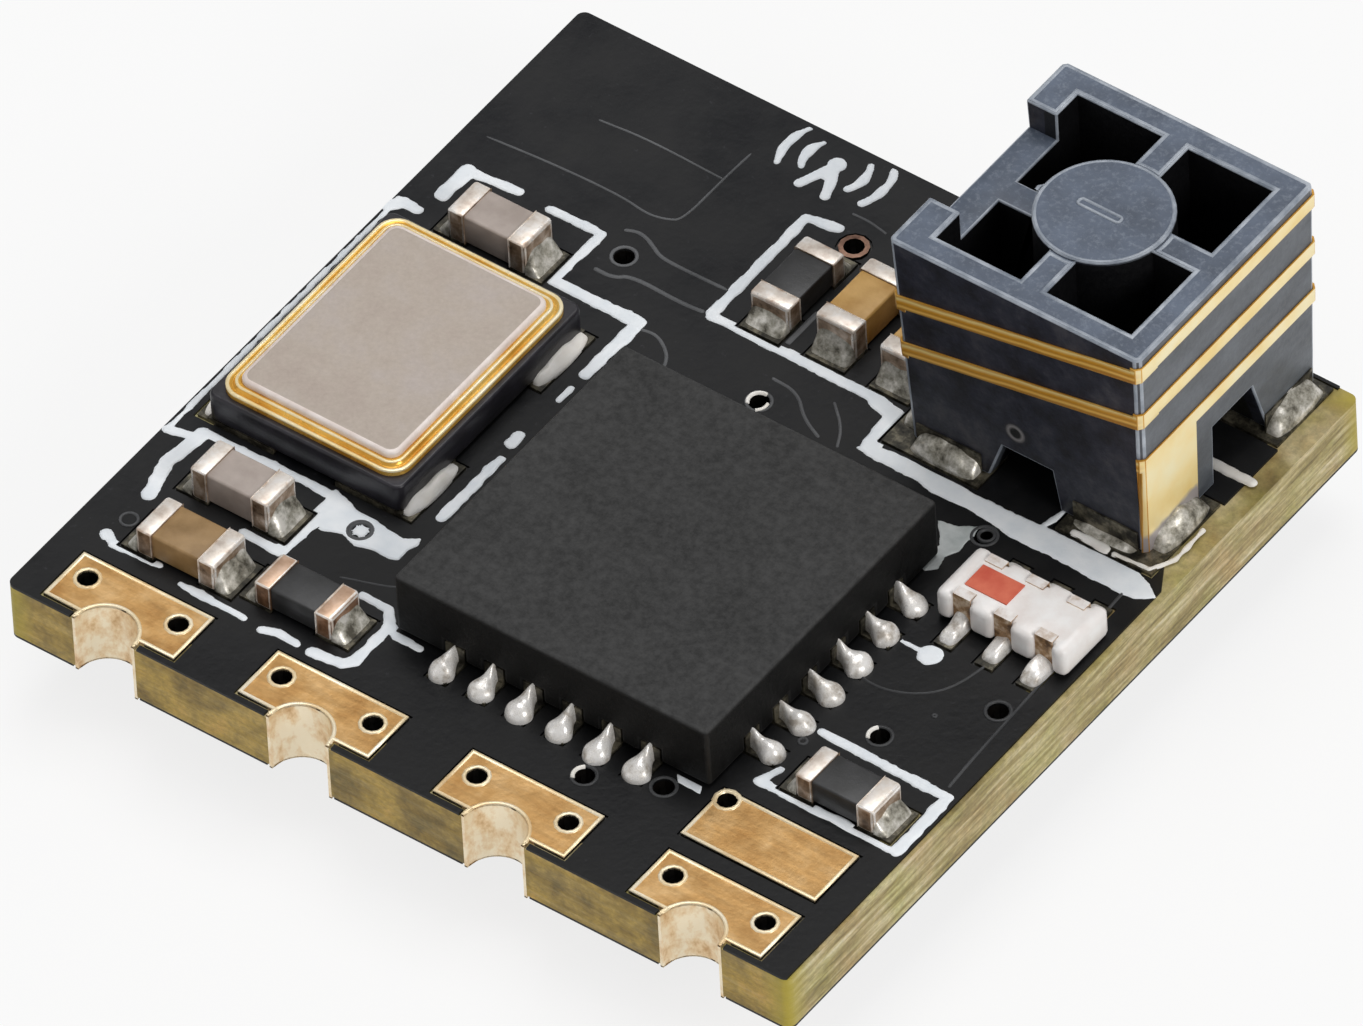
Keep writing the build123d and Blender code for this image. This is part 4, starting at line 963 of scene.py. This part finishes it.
# Copper runs that show faintly through the mask: width, then points
TRACES = [
    (0.035, [(-2.73, 2.66), (-2.60, 2.72), (-2.47, 2.70), (-2.34, 2.64), (-2.21, 2.57), (-2.07, 2.55), (-1.79, 2.55),
             (-1.32, 2.56)]),
    (0.040, [(-2.66, 2.04), (-2.41, 2.04), (-2.27, 2.17), (-1.61, 2.14), (-1.33, 2.17)]),
    (0.030, [(-1.73, 1.60), (-1.57, 1.63), (-1.41, 1.56), (-1.23, 1.40), (-1.14, 1.00)]),
    (0.022, [(-4.73, 2.95), (-3.90, 3.02), (-3.03, 3.04), (-2.67, 2.98), (-2.45, 3.03), (-2.31, 3.12), (-2.31, 3.83),
             (-2.29, 4.30)]),
    (0.022, [(-0.90, 4.18), (-0.68, 4.19), (-0.43, 4.14)]),
    (0.030, [(-0.19, 1.80), (0.16, 1.78), (0.42, 1.52), (0.72, 1.38)]),
    (0.025, [(0.55, 1.88), (0.83, 1.63), (0.96, 1.37)]),
    (0.025, [(3.04, -1.10), (3.20, -1.15), (3.49, -1.12), (3.81, -0.94), (3.99, -0.66), (4.07, -0.24)]),
    (0.030, [(4.62, 1.46), (4.72, -1.31), (4.76, -1.89)]),
    (0.050, [(-0.35, 2.28), (-0.35, 2.83)]),
    (0.020, [(-2.20, -3.00), (-1.60, -2.80), (-1.42, -2.60)]),
    (0.020, [(-3.90, 3.80), (-3.30, 3.86), (-2.31, 3.83)]),
]
SPLASH = [(2.39, 1.14), (2.55, 1.12), (2.80, 1.25), (2.86, 1.34), (2.88, 1.14), (2.88, 0.88), (2.79, 0.73),
          (2.85, 0.56), (2.75, 0.44), (2.64, 0.49), (2.64, 0.68), (2.65, 0.84), (2.54, 0.99)]

# Vias under the mask: middle, radius
TENTED_VIAS = [(-2.41, -2.35, 0.13), (-4.49, -3.56, 0.11), (2.98, 1.22, 0.10), (4.05, -1.15, 0.035), (3.14, -2.20, 0.06)]


def dress_nodes():
    """The solids that stay get their materials; many others get rounded copies."""
    for name, node in frame["nodes"].items():
        node.data.materials.clear()
        node.data.materials.append(LOOKS[NODE_LOOKS.get(name, "pad")])
    for name, (look, slot, width, edge_look) in ROUNDED.items():
        rounded(name, look, slot, width, edge_look)


def make_solder():
    """All the runs of solder, above and below."""
    run_solder("radio_chip_solder", "solder", "solder", teardrop)
    run_solder("controller_chip_solder", "solder", "solder", teardrop)
    run_solder("regulator_solder", "solder", "solder", teardrop)
    # Painted highlight: the oscillator's solder runs take pale cream as glints
    run_solder("oscillator_solder", "solder", "cream", spindle, 0.2)
    run_solder("filter_solder", "solder", "solder", short_foot, 0.2)
    run_solder("antenna_solder", "solder", "dull_solder", foot_run, 0.16)
    run_solder("upper_chip_part_solder", "solder", "dull_solder", hollow_run, 0.14)
    run_solder("lower_chip_part_solder", "solder", "dull_solder", hollow_run, 0.14)


def make_ink():
    """Stands for the printed lines: uneven strokes that run into each other, clear of pads and vias."""
    plan = Plan(-5.0, 5.0, -4.2, 4.2)
    for start, end, points in INK_LINES:
        plan.line(points, start, end)
    for points in INK_AREAS:
        plan.area(points)
    plan.field += 0.014
    plan.ragged(0.008, 2.2, 3)
    plan.ragged(0.005, 7.0, 4)
    for node in ("upper_copper_pads", "test_pad", "edge_pad_1", "edge_pad_2", "edge_pad_3", "edge_pad_4"):
        for points in islands(node):
            plan.spare(points.min(0), points.max(0), 0.035)
    for points in islands("via_barrels"):
        middle = (points.min(0) + points.max(0)) / 2
        plan.spare_disc(middle[0], middle[1], 0.12)
    for x, y, radius in TENTED_VIAS:
        plan.spare_disc(x, y, radius)
    plan.spare(*box_mm("radio_chip_body"), 0.01)
    plan.line([(-2.41, -2.35), (-2.405, -2.35)], 0.155)
    shape = Shape()
    plan.sheet(shape, MASK_TOP, 0.013, 0.04)
    shape.piece("ink_lines", "ink", "ink", "upper_silkscreen")


def make_sign():
    """The antenna sign that fills the printed label's place."""
    plan = Plan(SIGN_X - 1.0, SIGN_X + 1.0, SIGN_Y - 0.4, SIGN_Y + 0.4)
    plan.line([(SIGN_X, SIGN_Y - 0.05), (SIGN_X, SIGN_Y + 0.12)], SIGN_WIDTH)
    plan.line([(SIGN_X - 0.17, SIGN_Y - 0.29), (SIGN_X, SIGN_Y + 0.10), (SIGN_X + 0.17, SIGN_Y - 0.29)], SIGN_WIDTH)
    plan.line([(SIGN_X, SIGN_Y + 0.15), (SIGN_X + 0.01, SIGN_Y + 0.15)], 0.2)
    for radius, reach in ((0.36, 34), (0.62, 28)):
        for side in (0, 180):
            angles = np.radians(side + np.linspace(-reach, reach, 9))
            wave = np.stack([SIGN_X + radius * np.cos(angles), SIGN_Y + 0.12 + radius * np.sin(angles)], axis=1)
            plan.line(wave, 0.08, SIGN_WIDTH, 0.08)
    plan.ragged(0.010, 3.0, 8)
    shape = Shape()
    plan.sheet(shape, MASK_TOP, 0.013, 0.04)
    shape.piece("antenna_sign", "ink", "ink")


def make_traces():
    """Copper runs under the mask, and the rims of masked and open vias."""
    shape = Shape()
    for width, points in TRACES:
        ribbon(shape, points, 1.35 * width, 0.012, MASK_TOP)
    for x, y, radius in TENTED_VIAS:
        bead(shape, circle(x, y, radius), 0.035, 0.014, MASK_TOP)
    for points in islands("via_barrels"):
        low, high = points.min(0), points.max(0)
        if high[2] < PAD_TOP - 0.01:
            bead(shape, circle(*((low + high) / 2)[:2], 0.155), 0.04, 0.012, MASK_TOP)
    shape.piece("masked_traces", "solder_mask", "trace")
    plan = Plan(2.2, 3.1, 0.3, 1.5, 0.015)
    plan.area(SPLASH)
    plan.ragged(0.012, 4.0, 5)
    plan.spare_disc(2.98, 1.22, 0.12)
    splash = Shape()
    plan.sheet(splash, MASK_TOP, 0.008, 0.05)
    splash.piece("flux_splash", "solder", "splash")


def make_glints():
    """Painted highlights: pale crescents at the lips of three vias."""
    shape = Shape()
    for x, y, first, last in ((-0.10, 1.45, 80, 230), (-0.12, 1.43, -60, 20), (1.57, -3.85, 120, 230), (3.75, -1.70, 130, 230)):
        angles = np.radians(np.linspace(first, last, 9))
        arc = np.stack([x + 0.125 * np.cos(angles), y + 0.125 * np.sin(angles)], axis=1)
        ribbon(shape, arc, 0.05, 0.03, MASK_TOP)
    shape.piece("via_glints", "solder", "cream")


def make_rims():
    """Rims where the gold rolls over the edges of pads and vias, painted pale as highlights."""
    shape = Shape()
    for node in ("edge_pad_1", "edge_pad_2", "edge_pad_3", "edge_pad_4", "test_pad"):
        for outline in outlines(node, PAD_TOP):
            bead(shape, outline, 0.045, 0.012, PAD_TOP)
    for node in ("edge_pad_1", "edge_pad_2", "edge_pad_3", "edge_pad_4"):
        for outline in outlines(node, PAD_BOTTOM, -1):
            bead(shape, outline, 0.045, 0.008, PAD_BOTTOM, -1)
    shape.piece("pad_rims", "gold_plate", "rim_highlight")


def box_outline(middle, half_x, half_y, radius, steps=8):
    """A rectangle's points with round corners, with its inside on the left."""
    parts = []
    for quarter, (sign_x, sign_y) in enumerate(((1, 1), (-1, 1), (-1, -1), (1, -1))):
        angle = math.pi / 2 * quarter + np.linspace(0, math.pi / 2, steps)
        parts.append(np.stack([middle[0] + sign_x * (half_x - radius) + radius * np.cos(angle),
                               middle[1] + sign_y * (half_y - radius) + radius * np.sin(angle)], axis=1))
    return np.concatenate(parts)


def skin(shape, middle, half, sections, cap=False):
    """Skin through rounded rectangles, each given by its inset, corner radius and height."""
    rows = [box_outline(middle, half[0] - inset, half[1] - inset, radius) for inset, radius, z in sections]
    heights = np.array([z for inset, radius, z in sections])[None, :]
    stack = np.stack(rows, axis=1)
    shape.net(stack[..., 0], stack[..., 1], np.broadcast_to(heights, stack.shape[:2]), 1, closed=True)
    if cap:
        top = np.column_stack([rows[-1], np.full(len(rows[-1]), heights[0, -1])])
        shape.add(top, [list(range(len(top)))])


def make_oscillator():
    """Gold seal ring with two ridges painted bright as highlights, and the lid seamed inside it with a border painted
    pale as a highlight.
    """
    low, high = box_mm("oscillator_seal_ring")
    top = box_mm("oscillator_lid")[1][2]
    middle, half = (low + high)[:2] / 2, (high - low)[:2] / 2
    ring, base = high[2], low[2]
    band = Shape()
    skin(band, middle, half, [(0.0, 0.24, base - 0.005), (0.0, 0.24, ring - 0.020), (0.008, 0.235, ring - 0.005),
                              (0.025, 0.22, ring), (0.050, 0.20, ring - 0.002), (0.062, 0.19, ring - 0.016),
                              (0.074, 0.18, ring - 0.016), (0.086, 0.17, ring + 0.006), (0.100, 0.16, ring + 0.024),
                              (0.135, 0.14, ring + 0.028), (0.160, 0.13, ring + 0.018), (0.165, 0.13, ring)])
    band.piece("oscillator_gold_band", "bright_gold", "ring_gold", "oscillator_seal_ring")
    ridges = Shape()
    bead(ridges, box_outline(middle, *half, 0.24), 0.045, 0.010, ring - 0.004)
    bead(ridges, box_outline(middle, *(half - 0.095), 0.165), 0.035, 0.010, ring + 0.024)
    ridges.piece("oscillator_gold_ridges", "bright_gold", "ring_edge_highlight")
    # Painted highlight: the lid's border is pale
    border = Shape()
    skin(border, middle, half, [(0.155, 0.135, ring), (0.157, 0.13, top - 0.030), (0.165, 0.125, top - 0.012),
                                (0.182, 0.115, top - 0.003), (0.205, 0.10, top)])
    border.piece("oscillator_lid_border", "lid_metal", "lid_edge_highlight")
    plate = Shape()
    skin(plate, middle, half, [(0.200, 0.105, top - 0.001), (0.215, 0.10, top)], cap=True)
    plate.piece("oscillator_lid_plate", "lid_metal", "lid", "oscillator_lid")


def make_antenna_marks():
    """Lines along the rim and round the boss and the gate mark, painted bright as highlights, and the pale strips at
    the feet.
    """
    top = box_mm("antenna_body")[1][2]
    lines = Shape()
    for outline in outlines("antenna_body", ANTENNA_RIM):
        bead(lines, outline, 0.045, 0.007, ANTENNA_RIM, inset=0.016)
    bead(lines, circle(3.00, 3.43, 0.735, 60), 0.035, 0.006, top - GATE_MARK_RISE)
    bead(lines, box_outline((2.96, 3.41), 0.28, 0.06, 0.05), 0.035, GATE_MARK_RISE - 0.002, top - GATE_MARK_RISE)
    lines.piece("antenna_edge_lines", "antenna_plastic", "antenna_edge_highlight")
    strips = Shape()
    plan = Plan(3.5, 4.96, 1.6, 3.6)
    plan.line([(4.28, 3.36), (4.80, 3.36)], 0.13)
    plan.line([(3.71, 1.75), (4.12, 1.75)], 0.09, 0.12)
    plan.line([(4.23, 1.74), (4.66, 1.76)], 0.06)
    plan.line([(4.66, 1.76), (4.80, 2.02), (4.79, 2.53)], 0.05)
    plan.ragged(0.008, 5.0, 6)
    plan.sheet(strips, MASK_TOP + 0.004, 0.03, 0.04)
    strips.piece("antenna_foot_flux", "solder", "cream")


# Lights, floor and camera

def make_floor():
    """Pale floor that shows almost white, keeps the shadow and can be looked through from below."""
    side = 0.6
    corners = [(x * side, y * side, -0.00001) for x, y in ((-1, -1), (1, -1), (1, 1), (-1, 1))]
    mesh = bpy.data.meshes.new("studio_floor")
    mesh.from_pydata(corners, [], [(0, 1, 2, 3)])
    floor = bpy.data.objects.new("studio_floor", mesh)
    bpy.context.scene.collection.objects.link(floor)
    look = Look("floor", (0.86, 0.86, 0.86), 0.9)
    glow = look.node("ShaderNodeEmission")
    rays = look.node("ShaderNodeLightPath")
    seen = look.maths("MAXIMUM", rays.outputs["Is Camera Ray"],
                      look.maths("MAXIMUM", rays.outputs["Is Glossy Ray"], rays.outputs["Is Transmission Ray"]))
    both = look.node("ShaderNodeMixShader")
    look.feed(both.inputs["Fac"], look.maths("MULTIPLY", seen, 0.8))
    look.feed(both.inputs[1], look.shader.outputs[0])
    look.feed(both.inputs[2], glow.outputs[0])
    open_below = look.node("ShaderNodeMixShader")
    look.feed(open_below.inputs["Fac"], look.node("ShaderNodeNewGeometry").outputs["Backfacing"])
    look.feed(open_below.inputs[1], both.outputs[0])
    look.feed(open_below.inputs[2], look.node("ShaderNodeBsdfTransparent").outputs[0])
    look.feed(look.tree.nodes["Material Output"].inputs["Surface"], open_below.outputs[0])
    mesh.materials.append(look.material)


def make_world():
    """Even pale surroundings."""
    world = bpy.data.worlds.new("studio")
    world.use_nodes = True
    background = world.node_tree.nodes["Background"]
    background.inputs["Color"].default_value = (1.0, 1.0, 1.0, 1)
    background.inputs["Strength"].default_value = 0.32
    bpy.context.scene.world = world


def area_light(name, place, side, power, colour=(1, 1, 1)):
    """A soft square lamp that faces the board's middle."""
    lamp = bpy.data.lights.new(name, "AREA")
    lamp.shape = "SQUARE"
    lamp.size = side
    lamp.energy = power
    lamp.color = colour
    made = bpy.data.objects.new(name, lamp)
    made.location = place
    made.rotation_mode = "QUATERNION"
    made.rotation_quaternion = (-Vector(place)).to_track_quat("-Z", "Y")
    bpy.context.scene.collection.objects.link(made)


def make_lights():
    """A broad lamp above, a key from the right and a weak fill from the left."""
    area_light("above", (-0.02, 0.06, 0.22), 0.14, 0.24)
    area_light("right", (0.20, -0.03, 0.12), 0.08, 0.185, (1.0, 0.985, 0.96))
    area_light("left", (-0.14, -0.16, 0.10), 0.12, 0.03)


def make_camera():
    """Camera at the photograph's angle, far off, as the photograph has almost no perspective."""
    azimuth, elevation, roll = (math.radians(a) for a in (VIEW_AZIMUTH, VIEW_ELEVATION, VIEW_ROLL))
    right = Vector((math.cos(azimuth), math.sin(azimuth), 0))
    back = Vector((math.sin(azimuth) * math.cos(elevation), -math.cos(azimuth) * math.cos(elevation),
                   math.sin(elevation)))
    up = back.cross(right)
    turned_right = right * math.cos(roll) + up * math.sin(roll)
    turned_up = up * math.cos(roll) - right * math.sin(roll)
    aim = Vector((0, 0, MASK_TOP)) + turned_right * VIEW_SHIFT_RIGHT + turned_up * VIEW_SHIFT_UP
    camera_data = bpy.data.cameras.new("camera")
    camera_data.sensor_width = 36.0
    camera_data.lens = VIEW_LENS
    camera_data.clip_start = 0.01
    camera_data.clip_end = 10.0
    camera_object = bpy.data.objects.new("camera", camera_data)
    rows = Matrix((turned_right, turned_up, back)).transposed().to_4x4()
    camera_object.matrix_world = Matrix.Translation((aim + back * VIEW_DISTANCE) * MM) @ rows
    bpy.context.scene.collection.objects.link(camera_object)
    bpy.context.scene.camera = camera_object


bpy.context.scene.view_settings.view_transform = "Standard"
dress_nodes()
make_solder()
make_ink()
make_sign()
make_traces()
make_glints()
make_rims()
make_oscillator()
make_antenna_marks()
make_floor()
make_world()
make_lights()
make_camera()
